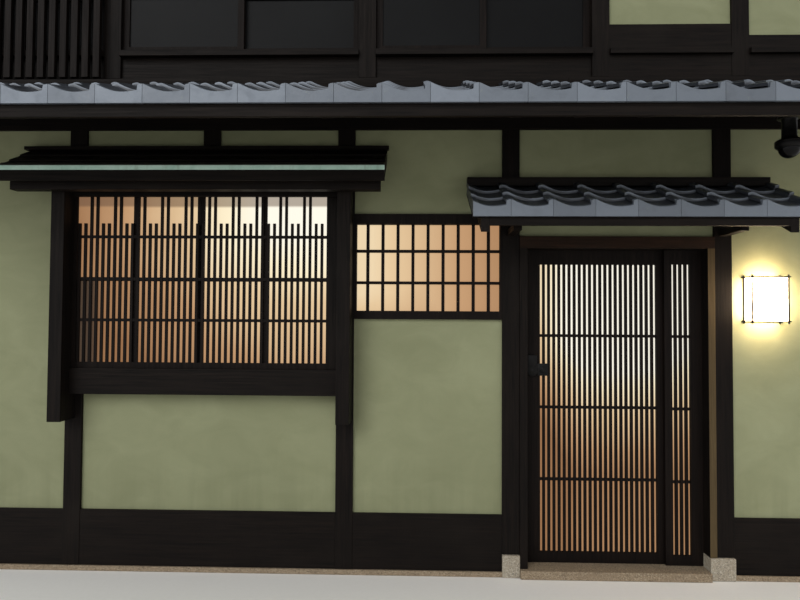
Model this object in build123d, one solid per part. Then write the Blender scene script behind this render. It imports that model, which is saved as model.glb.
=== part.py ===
"""Machiya townhouse: a two-storey timber house with tiled lower and upper roofs.

Millimetres, +Z up. X runs along the street front, the front looks along -Y, and the
origin is on the ground at the middle of the house. Front and rear walls share helpers
that measure depth inwards from the outer face of their posts.
"""
import os
from math import ceil, cos, floor, pi, sin

from build123d import *

# Plan: three ken wide and four deep, posts on lines from the middle of the front
KEN = 1970.0
WIDTH_KEN_COUNT = 3
DEPTH_KEN_COUNT = 4
POST = 105.0
P3 = -303.0
P4 = 701.0
U1_PAST_P1 = 200.0
U2 = -180.0
U3 = 1247.0
U4_PAST_P5 = 117.0

# Base, floors and wall beams
KERB_TOP = 30.0
KERB_PROUD = 10.0
FLOOR_RISE = 10.0
SKIRT_HIGH = 335.0
HEAD_DEPTH = 123.0
WAIST_DEPTH = 200.0
PLATE_DEPTH = 150.0
UPPER_BOARDS = 30.0
JOIST_WIDE = 105.0
JOIST_COUNT = 5

# Plaster and boards, measured inwards from the posts' face
PLASTER_SET = 20.0
PLASTER_THICK = 65.0
SKIRT_SET = 3.0

# Clearances shared by the moving and the seated pieces
SEAT_GAP = 0.3
RUN_GAP = 5.0

# Base stones and step of the entrance
STONE_HIGH = 132.0
STONE_PROUD = 18.0
STEP_HIGH = 51.0
STEP_PROUD = 40.0

# Entrance: jambs, lintel, sliding leaf and the fixed panel beside it
JAMB_LEFT_WIDE = 46.5
JAMB_RIGHT_WIDE = 42.5
JAMB_PROUD = 8.0
LINTEL_UNDER = 1970.0
LINTEL_DEPTH = 72.0
SIDE_WIDE = 225.0
SIDE_STILE = 46.0
SIDE_RIGHT_STILE = 71.0
SIDE_BAR_COUNT = 3
LEAF_SET = 115.0
LEAF_THICK = 30.0
LEAF_TUCK = 10.0
LEAF_LAP = 42.0
LEAF_PAST_LINTEL = 20.0
LEAF_LEFT_STILE = 108.0
LEAF_RIGHT_STILE = 80.0
LEAF_FOOT_RAIL = 60.0
LEAF_HEAD_RAIL = 89.0
LEAF_BAR_COUNT = 22
LEAF_RAIL_COUNT = 3
BAR_SET = 2.0
BAR_WIDE = 16.0
BAR_DEEP = 18.0
RAIL_HIGH = 18.0
RAIL_DEEP = 8.0
PANE = 4.0
TRACK_HIGH = 5.0
TRACK_WIDE = 6.0
GUIDE_LAP = 15.0
GUIDE_LIP = 5.0

# Lock case and its lever case on the leaf's left stile
LOCK_IN = 26.0
LOCK_WIDE = 62.0
LOCK_LOW = 1188.0
LOCK_HIGH = 130.0
LOCK_PROUD = 24.0
LOCK_CLEAR = 14.0
KNOB_WIDE = 68.0
KNOB_HIGH = 80.0

# Bay lattice window
BAY_PAST_P1 = 70.0
BAY_PAST_P3 = 44.0
BAY_POST = 80.0
BAY_OUT = 160.0
BAY_POST_DROP = 155.0
BAY_SILL_LOW = 1075.0
BAY_SILL_HIGH = 155.0
BAY_BEAM_OUT = 75.0
BAY_OPEN_HIGH = 1040.0
BAY_HEAD_HIGH = 110.0
BAY_REBATE = 30.0
BAY_JAMB = 75.0
BAY_EDGE_STRIP = 24.0
BAY_BAR_COUNT = 42
BAY_BAR = 16.5
BAY_END_GAP = 28.0
BAY_BAR_DEEP = 12.0
BAY_LATTICE_SET = 21.0
BAY_FOOT_RAIL = 37.0
BAY_CYCLE = ("short", "short", "long", "long")
BAY_SHORT_SHARE = 0.845
BAY_RAIL_SHARES = (0.28, 0.519, 0.766)
BAY_SASH_SET = 2.0
BAY_SASH_STILE = 24.0
BAY_SASH_THICK = 15.0
BAY_SASH_GAP = 2.0
BAY_SASH_TRACKS = (0, 1, 1, 0)

# Board hood over the bay, with a folded copper edge
HOOD_PAST_LEFT = 235.0
HOOD_PAST_RIGHT = 205.0
HOOD_OUT = 300.0
HOOD_RISE = 170.0
HOOD_OVER_HEAD = 25.0
HOOD_BOARD = 26.0
HOOD_RAFTER = 58.0
HOOD_RAFTER_WIDE = 42.0
HOOD_RAFTER_COUNT = 6
HOOD_COPPER_HIGH = 28.0
HOOD_COPPER_LAP = 40.0
HOOD_COPPER_THICK = 2.0
HOOD_FASCIA = 62.0
HOOD_FASCIA_THICK = 20.0
HOOD_PURLIN_WIDE = 68.0
HOOD_PURLIN_RISE = 10.0
HOOD_PURLIN_INSET = 28.0

# Middle window
WALL_OVER_BAY = 317.0
SIDE_WINDOW_LOW = 1535.0
SIDE_WINDOW_HIGH = 643.0
SIDE_FRAME_FOOT = 51.0
SIDE_FRAME_HEAD = 63.0
SIDE_FRAME_STILE = 14.0
SIDE_GRID_COUNT = 9
SIDE_GRID_BAR = 19.0
SIDE_GRID_STEP_SHARE = 0.1027
SIDE_RAIL_SHARES = (0.325, 0.692)
SIDE_FRAME_DEEP = 45.0

# Porch roof over the entrance
PORCH_PAST_P4 = 270.0
PORCH_PAST_P5 = 245.0
PORCH_OUT = 437.0
PORCH_OVER_LINTEL = 216.5
PORCH_PITCH_RATIO = 0.5
PORCH_DECK = 16.0
PORCH_RAFTER = 36.0
PORCH_RAFTER_WIDE = 36.0
PORCH_RAFTER_COUNT = 5
PORCH_VERGE_IN = 45.0
PORCH_VERGE_WIDE = 46.0
PORCH_VERGE_HIGH = 76.0
PORCH_FASCIA_HIGH = 40.0
PORCH_FASCIA_THICK = 20.0
PORCH_PURLIN_OUT = 250.0
PORCH_PURLIN_WIDE = 45.0
PORCH_ARM_WIDE = 48.0
PORCH_ARM_HIGH = 36.0
PORCH_ARM_LOW = 2044.0

# Tiles: every slope carries the same wave, in shares of its pitch and depth from a seam
TILE_HIGH = 92.0
TILE_WAVE_DEEP = 38.0
TILE_PITCH = 226.0
TILE_WAVE = ((0.0, 0.90), (0.09, 1.0), (0.20, 0.82), (0.40, 0.22), (0.62, 0.0), (0.88, 0.20))
PORCH_SEAM_BEFORE_P4 = 66.0
EAVE_SEAM = -37.0
TILE_NOSE = 20.0

# Lower roofs at front and rear
LOWER_OUT = 909.0
LOWER_OVER_HEAD = 10.6
LOWER_PITCH_RATIO = 0.4
LOWER_DECK = 20.0
LOWER_RAFTER = 60.0
RAFTER_WIDE = 50.0
RAFTER_STEP = 303.0
FASCIA_THICK = 24.0
FASCIA_HIGH = 47.0

# Main roof, its eaves a little short of the lower ones
MAIN_SHORT = 29.0
MAIN_PITCH_RATIO = 0.45
MAIN_RAFTER = 80.0
MAIN_DECK = 20.0
VERGE = 90.0
BARGE_THICK = 28.0
BARGE_HIGH = 170.0
PURLIN = 105.0
PURLIN_DEPTH = 150.0

# Ridge: stacked courses, a round cap and an arched tile at each end
RIDGE_WIDE = 240.0
RIDGE_HIGH = 210.0
RIDGE_CAP = 62.0
RIDGE_END_THICK = 60.0
RIDGE_END_OVER = 20.0
RIDGE_END_SHOULDER = 70.0

# Upper windows and lattice
UPPER_SILL_RISE = 152.0
UPPER_SILL_THICK = 36.0
UPPER_SILL_OUT = 25.0
UPPER_OPEN_HIGH = 1228.0
UPPER_HEAD_DEPTH = 90.0
WALL_OVER_UPPER = 410.0
UPPER_STILE = 40.0
UPPER_RAIL_SHARE = 0.316
UPPER_SASH_SET = 28.0
SASH_THICK = 24.0
PANEL_A_RISE = 171.0
PANEL_B_RISE = 101.0
UPPER_LATTICE_OUT = 60.0
UPPER_BAR = 40.0
UPPER_BAR_STEP = 70.0
UPPER_BAR_DEEP = 30.0

# Wall lantern and dome fitting
LAMP_PAST_P5 = 126.0
LAMP_WIDE = 219.0
LAMP_LOW = 1530.0
LAMP_HIGH = 271.0
LAMP_DEEP = 100.0
LAMP_ROD = 8.0
LAMP_EAR = 10.0
DOME_PAST_P5 = 91.0
DOME_OUT = 520.0
DOME_LOW = 2383.0
DOME_RADIUS = 68.0
DOME_RINGS = 6
DOME_RIM = 14.0
DOME_STEM = 40.0
DOME_PLATE = 56.0
DOME_PLATE_THICK = 12.0

# Worked out in plan
P1 = -KEN
P2 = (P1 + P3) / 2
P5 = KEN
U1 = P1 + U1_PAST_P1
U4 = P5 + U4_PAST_P5
HALF_WIDTH = WIDTH_KEN_COUNT * KEN / 2
HALF_DEPTH = DEPTH_KEN_COUNT * KEN / 2
FACE = HALF_DEPTH + POST / 2
INNER = POST
END_IN = HALF_WIDTH - POST / 2
END_OUT = HALF_WIDTH + POST / 2
ROOF_EDGE = END_OUT + VERGE
MAIN_OUT = LOWER_OUT - MAIN_SHORT
GROUND_POSTS = (-HALF_WIDTH, P1, P3, P4, P5, HALF_WIDTH)
UPPER_POSTS = (-HALF_WIDTH, U1, U2, U3, U4, HALF_WIDTH)
FRONT = -1
REAR = 1
PLASTER_BACK = PLASTER_SET + PLASTER_THICK
BAY_LEFT = P1 - BAY_PAST_P1
BAY_RIGHT = P3 + BAY_PAST_P3
BAY_IN_LEFT = BAY_LEFT + BAY_POST
BAY_IN_RIGHT = BAY_RIGHT - BAY_POST - BAY_JAMB
BAY_SASH_LEFT = BAY_IN_LEFT - BAY_SASH_STILE
BAY_SASH_RIGHT = BAY_IN_RIGHT + BAY_SASH_STILE
BAY_LATTICE_OUT = BAY_BEAM_OUT - BAY_LATTICE_SET
HOOD_LEFT = BAY_LEFT - HOOD_PAST_LEFT
HOOD_RIGHT = BAY_RIGHT + HOOD_PAST_RIGHT
JAMB_RIGHT = P5 - POST / 2 - JAMB_RIGHT_WIDE
SIDE_LEFT = JAMB_RIGHT - SIDE_WIDE
LEAF_LEFT = P4 + POST / 2 + JAMB_LEFT_WIDE - LEAF_TUCK
LEAF_RIGHT = SIDE_LEFT + LEAF_LAP
LOCK_LEFT = LEAF_LEFT + LOCK_IN
LEAF_TRAVEL = SIDE_LEFT - (LOCK_LEFT + LOCK_WIDE + KNOB_WIDE) - LOCK_CLEAR
PORCH_LEFT = P4 - PORCH_PAST_P4
PORCH_RIGHT = P5 + PORCH_PAST_P5
LAMP_LEFT = P5 + LAMP_PAST_P5
DOME_X = P5 + DOME_PAST_P5
PORCH_SEAM = P4 - PORCH_SEAM_BEFORE_P4

# Worked out in height, from the ground up
FLOOR_TOP = KERB_TOP + FLOOR_RISE
SKIRT_TOP = KERB_TOP + SKIRT_HIGH
BAY_POST_LOW = BAY_SILL_LOW - BAY_POST_DROP
BAY_SILL_TOP = BAY_SILL_LOW + BAY_SILL_HIGH
BAY_HEAD_LOW = BAY_SILL_TOP + BAY_OPEN_HIGH
BAY_HEAD_TOP = BAY_HEAD_LOW + BAY_HEAD_HIGH
BAY_RAILS = [BAY_SILL_TOP + share * BAY_OPEN_HIGH for share in BAY_RAIL_SHARES]
HOOD_EDGE_TOP = BAY_HEAD_TOP + HOOD_OVER_HEAD
HOOD_PURLIN_LOW = BAY_HEAD_LOW + HOOD_PURLIN_RISE
HEAD_UNDER = BAY_HEAD_TOP + WALL_OVER_BAY
HEAD_TOP = HEAD_UNDER + HEAD_DEPTH
WAIST_TOP = HEAD_TOP + WAIST_DEPTH
SIDE_WINDOW_TOP = SIDE_WINDOW_LOW + SIDE_WINDOW_HIGH
LINTEL_TOP = LINTEL_UNDER + LINTEL_DEPTH
LEAF_FOOT = FLOOR_TOP + TRACK_HIGH + SEAT_GAP
LEAF_TOP = LINTEL_UNDER + LEAF_PAST_LINTEL
LEAF_LIT_LOW = STEP_HIGH + LEAF_FOOT_RAIL
LEAF_LIT_TOP = LINTEL_UNDER - LEAF_HEAD_RAIL
PORCH_DROP = PORCH_PITCH_RATIO * PORCH_OUT
PORCH_SEAT = LINTEL_TOP + PORCH_OVER_LINTEL
PORCH_TILE_FOOT = PORCH_SEAT + PORCH_RAFTER + PORCH_DECK - PORCH_DROP
LOWER_DROP = LOWER_PITCH_RATIO * LOWER_OUT
LOWER_SEAT = HEAD_TOP + LOWER_OVER_HEAD
LOWER_TILE_FOOT = LOWER_SEAT + LOWER_RAFTER + LOWER_DECK - LOWER_DROP
UPPER_SILL = WAIST_TOP + UPPER_SILL_RISE
UPPER_HEAD = UPPER_SILL + UPPER_OPEN_HIGH
UPPER_MID_RAIL = UPPER_SILL + UPPER_RAIL_SHARE * UPPER_OPEN_HIGH
PANEL_A_LOW = UPPER_SILL + PANEL_A_RISE
PANEL_B_LOW = UPPER_SILL + PANEL_B_RISE
PLATE_UNDER = UPPER_HEAD + UPPER_HEAD_DEPTH + WALL_OVER_UPPER
PLATE_TOP = PLATE_UNDER + PLATE_DEPTH


def block(x0, x1, y0, y1, z0, z1):
    """A box between two corners."""
    middle = Pos((x0 + x1) / 2, (y0 + y1) / 2, (z0 + z1) / 2)
    return middle * Box(abs(x1 - x0), abs(y1 - y0), abs(z1 - z0))


def depth(side, inwards):
    """The Y of a plane so far inwards from the posts' face of one wall."""
    return side * (FACE - inwards)


def piece(side, x0, x1, in0, in1, z0, z1):
    """A box in the front or rear wall, its depth measured inwards from the face."""
    return block(x0, x1, depth(side, in0), depth(side, in1), z0, z1)


def prism_x(points, x0, x1):
    """A solid of one YZ outline along X."""
    outline = make_face(Polyline([(x0, y, z) for y, z in points], close=True))
    return extrude(outline, amount=x1 - x0, dir=(1, 0, 0))


def fused(solids):
    """One solid from pieces that share faces or cross."""
    first, *others = solids
    return first.fuse(*others).clean()


def group(solids):
    """Separate solids kept in one node."""
    return Compound(children=list(solids))


def save(shape, node):
    export_step(shape, f"parts/{node}.step")


def slope(side, in0, in1, foot, pitch, low, high, x0, x1):
    """A sloping slab between two depths; foot is the height of its plane at in0."""
    def height(inwards):
        return foot + pitch * (inwards - in0)

    outline = [
        (depth(side, in0), height(in0) + low),
        (depth(side, in1), height(in1) + low),
        (depth(side, in1), height(in1) + high),
        (depth(side, in0), height(in0) + high),
    ]
    return prism_x(outline, x0, x1)


def wave_line(x0, x1, seam):
    """Where the tiles' wave bends between two ends: X from each seam, with its height share."""
    first = floor((x0 - seam) / TILE_PITCH)
    last = ceil((x1 - seam) / TILE_PITCH)
    bends = [
        (seam + (column + at) * TILE_PITCH, share)
        for column in range(first, last + 1)
        for at, share in TILE_WAVE
    ]

    def share_at(x):
        """The wave's height share at any X between two bends."""
        for (left, low), (right, high) in zip(bends, bends[1:]):
            if left <= x <= right:
                return low + (high - low) * (x - left) / (right - left)

    inside = [(x, share) for x, share in bends if x0 < x < x1]
    return [(x0, share_at(x0)), *inside, (x1, share_at(x1))]


def waved_slope(side, in0, in1, foot, pitch, low, x0, x1, seam):
    """Tiles of one slope: a slab whose top waves across, drawn from the eave up the pitch."""
    hand = -side
    ends = sorted((hand * x0, hand * x1))
    y = depth(side, in0)
    under = foot + low
    crest = under + TILE_HIGH
    top = [
        (hand * x, y, crest - TILE_WAVE_DEEP * (1 - share))
        for x, share in wave_line(ends[0], ends[1], seam)
    ]
    base = [(hand * ends[1], y, under), (hand * ends[0], y, under)]
    outline = make_face(Polyline([*top, *base], close=True))
    run = Vector(0, depth(side, in1) - y, pitch * (in1 - in0))
    return extrude(outline, amount=run.length, dir=run.normalized())


def spread(first, last, count):
    """Evenly spaced values from first to last."""
    return [first + (last - first) * i / (count - 1) for i in range(count)]


def bays(posts):
    """The clear widths between neighbouring posts."""
    return [(a + POST / 2, b - POST / 2) for a, b in zip(posts, posts[1:])]


# Base


def kerbs():
    door_left = P4 + POST / 2
    door_right = P5 + POST / 2
    long_kerbs = [
        piece(FRONT, -END_OUT, P4 - POST / 2, -KERB_PROUD, INNER, 0, KERB_TOP),
        piece(FRONT, door_right, END_OUT, -KERB_PROUD, INNER, 0, KERB_TOP),
        piece(REAR, -END_OUT, END_OUT, -KERB_PROUD, INNER, 0, KERB_TOP),
    ]
    save(group(long_kerbs), "front_and_rear_kerbs")
    inner = FACE - INNER
    sides = [block(s * END_IN, s * END_OUT, -inner, inner, 0, KERB_TOP) for s in (-1, 1)]
    save(group(sides), "side_kerbs")
    stones = [
        piece(FRONT, P4 - POST / 2, door_left, -STONE_PROUD, INNER, 0, STONE_HIGH),
        piece(FRONT, JAMB_RIGHT, door_right, -STONE_PROUD, INNER, 0, STONE_HIGH),
    ]
    save(group(stones), "base_stones")
    step = piece(FRONT, door_left, JAMB_RIGHT, -STEP_PROUD, INNER, 0, STEP_HIGH)
    save(step, "door_step")


def floors():
    inner = FACE - INNER
    save(block(-END_IN, END_IN, -inner, inner, 0, FLOOR_TOP), "ground_floor")
    joists = []
    for x in spread(-END_IN + JOIST_WIDE, END_IN - JOIST_WIDE, JOIST_COUNT):
        left = x - JOIST_WIDE / 2
        joists.append(block(left, left + JOIST_WIDE, -inner, inner, HEAD_UNDER, HEAD_TOP))
    save(group(joists), "floor_joists")
    boards = block(-END_IN, END_IN, -inner, inner, HEAD_TOP, HEAD_TOP + UPPER_BOARDS)
    save(boards, "upper_floor")


# Frame


def ground_posts(side):
    solids = []
    for x in GROUND_POSTS:
        stands_on_stone = side == FRONT and x in (P4, P5)
        foot = STONE_HIGH if stands_on_stone else KERB_TOP
        solids.append(piece(side, x - POST / 2, x + POST / 2, 0, POST, foot, HEAD_UNDER))
    if side == FRONT:
        stud = piece(side, P2 - POST / 2, P2 + POST / 2, 0, POST, BAY_HEAD_TOP, HEAD_UNDER)
        solids.append(stud)
    return solids


def upper_posts(side):
    return [
        piece(side, x - POST / 2, x + POST / 2, 0, POST, WAIST_TOP, PLATE_UNDER)
        for x in UPPER_POSTS
    ]


def beams():
    heads = [piece(s, -END_OUT, END_OUT, 0, POST, HEAD_UNDER, HEAD_TOP) for s in (FRONT, REAR)]
    plates = [bevelled_plate(s) for s in (FRONT, REAR)]
    save(group(heads + plates), "head_beams")
    waists = [piece(s, -END_OUT, END_OUT, 0, POST, HEAD_TOP, WAIST_TOP) for s in (FRONT, REAR)]
    save(group(waists), "waist_beams")


def bevelled_plate(side):
    """The eaves plate, its top cut to the slope of the rafters."""
    outline = [
        (depth(side, 0), PLATE_UNDER),
        (depth(side, POST), PLATE_UNDER),
        (depth(side, POST), PLATE_TOP + MAIN_PITCH_RATIO * POST),
        (depth(side, 0), PLATE_TOP),
    ]
    return prism_x(outline, -END_OUT, END_OUT)


def roof_under(y):
    """The height of the underside of the main rafters."""
    return PLATE_TOP + MAIN_PITCH_RATIO * (FACE - abs(y))


def party_wall(hand):
    """A plain gabled end wall, between the corner posts and up to the rafters."""
    inner = FACE - INNER
    outline = [
        (-inner, KERB_TOP),
        (inner, KERB_TOP),
        (inner, roof_under(inner)),
        (0, roof_under(0)),
        (-inner, roof_under(inner)),
    ]
    low, high = sorted((hand * END_IN, hand * END_OUT))
    return prism_x(outline, low, high)


# Ground storey walls


def front_plaster():
    panels = [
        (-END_IN, P1 - POST / 2, KERB_TOP, HEAD_UNDER),
        (P1 + POST / 2, P3 - POST / 2, KERB_TOP, BAY_SILL_LOW),
        (P1 + POST / 2, P2 - POST / 2, BAY_HEAD_TOP, HEAD_UNDER),
        (P2 + POST / 2, P3 - POST / 2, BAY_HEAD_TOP, HEAD_UNDER),
        (P3 + POST / 2, P4 - POST / 2, KERB_TOP, SIDE_WINDOW_LOW),
        (P3 + POST / 2, P4 - POST / 2, SIDE_WINDOW_TOP, HEAD_UNDER),
        (P4 + POST / 2, P5 - POST / 2, LINTEL_TOP, HEAD_UNDER),
        (P5 + POST / 2, END_IN, KERB_TOP, HEAD_UNDER),
    ]
    return [
        piece(FRONT, x0, x1, PLASTER_SET, PLASTER_BACK, z0, z1) for x0, x1, z0, z1 in panels
    ]


def skirting(side):
    solids = []
    for x0, x1 in bays(GROUND_POSTS):
        is_doorway = side == FRONT and x0 == P4 + POST / 2
        if not is_doorway:
            solids.append(piece(side, x0, x1, SKIRT_SET, PLASTER_SET, KERB_TOP, SKIRT_TOP))
    return solids


def rear_plaster():
    solids = []
    for x0, x1 in bays(GROUND_POSTS):
        has_window = x0 == P3 + POST / 2
        spans = [(KERB_TOP, HEAD_UNDER)]
        if has_window:
            spans = [(KERB_TOP, SIDE_WINDOW_LOW), (SIDE_WINDOW_TOP, HEAD_UNDER)]
        for z0, z1 in spans:
            solids.append(piece(REAR, x0, x1, PLASTER_SET, PLASTER_BACK, z0, z1))
    return solids


# Windows of the ground storey


def window_grid(side):
    """The framed grid of the middle window between two posts."""
    x0 = P3 + POST / 2
    x1 = P4 - POST / 2
    foot = SIDE_WINDOW_LOW + SIDE_FRAME_FOOT
    head = SIDE_WINDOW_TOP - SIDE_FRAME_HEAD
    back = SIDE_FRAME_DEEP
    solids = [
        piece(side, x0, x1, 0, back, SIDE_WINDOW_LOW, foot),
        piece(side, x0, x1, 0, back, head, SIDE_WINDOW_TOP),
        piece(side, x0, x0 + SIDE_FRAME_STILE, 0, back, foot, head),
        piece(side, x1 - SIDE_FRAME_STILE, x1, 0, back, foot, head),
    ]
    low = back - BAR_DEEP
    reach = (SIDE_GRID_COUNT - 1) / 2 * SIDE_GRID_STEP_SHARE * (x1 - x0)
    middle = (x0 + x1) / 2
    for x in spread(middle - reach, middle + reach, SIDE_GRID_COUNT):
        left = x - SIDE_GRID_BAR / 2
        solids.append(piece(side, left, left + SIDE_GRID_BAR, low, back, foot, head))
    for share in SIDE_RAIL_SHARES:
        z0 = foot + share * (head - foot) - RAIL_HIGH / 2
        solids.append(piece(side, x0, x1, low, back, z0, z0 + RAIL_HIGH))
    return fused(solids)


def window_pane(side):
    """The pane behind the middle window's grid."""
    x0 = P3 + POST / 2
    x1 = P4 - POST / 2
    back = SIDE_FRAME_DEEP
    return piece(side, x0, x1, back, back + PANE, SIDE_WINDOW_LOW, SIDE_WINDOW_TOP)


# Bay lattice window


def bay_posts():
    """Two posts up to the hood's rafters, grooved for the sashes; the right one has a jamb."""
    top = hood_under(BAY_OUT)
    solids = []
    for x in (BAY_LEFT, BAY_RIGHT - BAY_POST):
        outline = [
            (depth(FRONT, -BAY_OUT), BAY_POST_LOW),
            (depth(FRONT, 0), BAY_POST_LOW),
            (depth(FRONT, 0), hood_under(0)),
            (depth(FRONT, -BAY_OUT), top),
        ]
        solids.append(prism_x(outline, x, x + BAY_POST))
    left, right = solids
    lip = BAY_LATTICE_OUT - BAY_BAR_DEEP
    foot, head = BAY_SILL_TOP, BAY_HEAD_LOW
    groove = piece(FRONT, BAY_SASH_LEFT, BAY_IN_LEFT, -lip, 0, foot, head + BAY_REBATE)
    jamb_end = BAY_RIGHT - BAY_POST
    jamb = [
        piece(FRONT, BAY_IN_RIGHT, jamb_end, -BAY_LATTICE_OUT, -lip, foot, head),
        piece(FRONT, BAY_SASH_RIGHT, jamb_end, -lip, 0, foot, head),
    ]
    return [left - groove, fused([right, *jamb])]


def bay_sill():
    """The sill beam, run between the bay posts and back into the wall."""
    low, high = BAY_SILL_LOW, BAY_SILL_TOP
    outer = piece(FRONT, BAY_IN_LEFT, BAY_RIGHT - BAY_POST, -BAY_BEAM_OUT, 0, low, high)
    inner = piece(FRONT, P1 + POST / 2, P3 - POST / 2, 0, POST, low, high)
    return fused([outer, inner])


def bay_head():
    """The head beam: its front lip hangs below a rebate that takes the sashes' top rails."""
    low, high = BAY_HEAD_LOW, BAY_HEAD_TOP
    rebate = low + BAY_REBATE
    lip = BAY_LATTICE_OUT - BAY_BAR_DEEP
    right = BAY_RIGHT - BAY_POST
    return fused([
        piece(FRONT, BAY_IN_LEFT, right, -BAY_BEAM_OUT, -lip, low, high),
        piece(FRONT, BAY_IN_LEFT, right, -lip, 0, rebate, high),
        piece(FRONT, P1 + POST / 2, P3 - POST / 2, 0, POST, rebate, high),
    ])


def bay_lattice():
    """Fine bars, two short and two full height by turns, on rails that thread them."""
    x0, x1 = BAY_IN_LEFT, BAY_IN_RIGHT
    near = -BAY_LATTICE_OUT
    far = near + BAY_BAR_DEEP
    foot = BAY_SILL_TOP + BAY_FOOT_RAIL
    strip = x0 + BAY_EDGE_STRIP
    solids = [
        piece(FRONT, x0, x1, near, far, BAY_SILL_TOP, foot),
        piece(FRONT, x0, strip, near, far, foot, BAY_HEAD_LOW),
    ]
    step = (x1 - x0 - BAY_END_GAP) / BAY_BAR_COUNT
    tops = {
        "long": BAY_HEAD_LOW,
        "short": BAY_SILL_TOP + BAY_SHORT_SHARE * BAY_OPEN_HIGH,
    }
    for i in range(BAY_BAR_COUNT):
        top = tops[BAY_CYCLE[i % len(BAY_CYCLE)]]
        left = x0 + (i + 1) * step - BAY_BAR / 2
        solids.append(piece(FRONT, left, left + BAY_BAR, near, far, foot, top))
    middle = (near + far) / 2
    for z in BAY_RAILS:
        z0 = z - RAIL_HIGH / 2
        rail = (middle - RAIL_DEEP / 2, middle + RAIL_DEEP / 2)
        solids.append(piece(FRONT, x0, x1, rail[0], rail[1], z0, z0 + RAIL_HIGH))
    return fused(solids)


def bay_sash_spans():
    """Left and right edges and track of each sash: two pairs that meet in the middle."""
    laps = [BAY_SASH_STILE if a != b else -SEAT_GAP
            for a, b in zip(BAY_SASH_TRACKS, BAY_SASH_TRACKS[1:])]
    width = (BAY_SASH_RIGHT - BAY_SASH_LEFT + sum(laps)) / len(BAY_SASH_TRACKS)
    spans = []
    x0 = BAY_SASH_LEFT
    for track, lap in zip(BAY_SASH_TRACKS, [*laps, 0]):
        spans.append((x0, x0 + width, track))
        x0 += width - lap
    return spans


def framed(side, x0, x1, near, thick, z0, z1, stile, rails=()):
    """A sash: two stiles, top and bottom rails and any rails between."""
    far = near + thick
    solids = [
        piece(side, x0, x0 + stile, near, far, z0, z1),
        piece(side, x1 - stile, x1, near, far, z0, z1),
        piece(side, x0 + stile, x1 - stile, near, far, z0, z0 + stile),
        piece(side, x0 + stile, x1 - stile, near, far, z1 - stile, z1),
    ]
    for z in rails:
        low = z - stile / 2
        solids.append(piece(side, x0 + stile, x1 - stile, near, far, low, low + stile))
    return fused(solids)


def bay_sashes():
    frames = []
    panes = []
    stile = BAY_SASH_STILE
    low, high = BAY_SILL_TOP, BAY_HEAD_LOW + BAY_REBATE
    middle = BAY_RAILS[1]
    levels = ((low + stile, middle - stile / 2), (middle + stile / 2, high - stile))
    for x0, x1, track in bay_sash_spans():
        near = BAY_BAR_DEEP - BAY_LATTICE_OUT + BAY_SASH_SET
        near += track * (BAY_SASH_THICK + BAY_SASH_GAP)
        frames.append(framed(FRONT, x0, x1, near, BAY_SASH_THICK, low, high, stile, (middle,)))
        glass = near + (BAY_SASH_THICK - PANE) / 2
        for z0, z1 in levels:
            panes.append(piece(FRONT, x0 + stile, x1 - stile, glass, glass + PANE, z0, z1))
    return frames, panes


# Hood over the bay


def hood_top(out):
    """Height of the hood's top surface at a distance out from the wall."""
    return HOOD_EDGE_TOP + HOOD_RISE * (HOOD_OUT - out) / HOOD_OUT


def hood_under(out):
    """Height of the underside of the hood's rafters."""
    return hood_top(out) - HOOD_BOARD - HOOD_RAFTER


def hood_edging():
    """Folded copper along the boards' front edge, lapping a little up their top."""
    lap = HOOD_OUT - HOOD_COPPER_LAP
    thick = HOOD_COPPER_THICK
    near = HOOD_OUT + thick
    outline = [
        (depth(FRONT, -near), HOOD_EDGE_TOP - HOOD_COPPER_HIGH),
        (depth(FRONT, -near), hood_top(near) + thick),
        (depth(FRONT, -lap), hood_top(lap) + thick),
        (depth(FRONT, -lap), hood_top(lap)),
        (depth(FRONT, -HOOD_OUT), HOOD_EDGE_TOP),
        (depth(FRONT, -HOOD_OUT), HOOD_EDGE_TOP - HOOD_COPPER_HIGH),
    ]
    return prism_x(outline, HOOD_LEFT, HOOD_RIGHT)


def hood():
    pitch = HOOD_RISE / HOOD_OUT
    back = HOOD_OUT - HOOD_FASCIA_THICK
    board = slope(FRONT, -HOOD_OUT, 0, HOOD_EDGE_TOP, pitch, -HOOD_BOARD, 0,
                  HOOD_LEFT, HOOD_RIGHT)
    save(board, "hood_boards")
    save(hood_edging(), "hood_edging")
    rafters = []
    first = HOOD_LEFT + HOOD_RAFTER_WIDE / 2
    last = HOOD_RIGHT - HOOD_RAFTER_WIDE / 2
    for x in spread(first, last, HOOD_RAFTER_COUNT):
        left = x - HOOD_RAFTER_WIDE / 2
        foot = hood_top(back)
        low = -HOOD_BOARD - HOOD_RAFTER
        rafters.append(slope(FRONT, -back, 0, foot, pitch, low, -HOOD_BOARD,
                             left, left + HOOD_RAFTER_WIDE))
    under = HOOD_EDGE_TOP - HOOD_BOARD
    fascia = piece(FRONT, HOOD_LEFT, HOOD_RIGHT, -HOOD_OUT, -back, under - HOOD_FASCIA, under)
    near = BAY_OUT + HOOD_PURLIN_WIDE
    outline = [
        (depth(FRONT, -near), HOOD_PURLIN_LOW),
        (depth(FRONT, -BAY_OUT), HOOD_PURLIN_LOW),
        (depth(FRONT, -BAY_OUT), hood_under(BAY_OUT)),
        (depth(FRONT, -near), hood_under(near)),
    ]
    purlin = prism_x(outline, HOOD_LEFT + HOOD_PURLIN_INSET, HOOD_RIGHT - HOOD_PURLIN_INSET)
    return rafters, fascia, purlin


# Entrance


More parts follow.
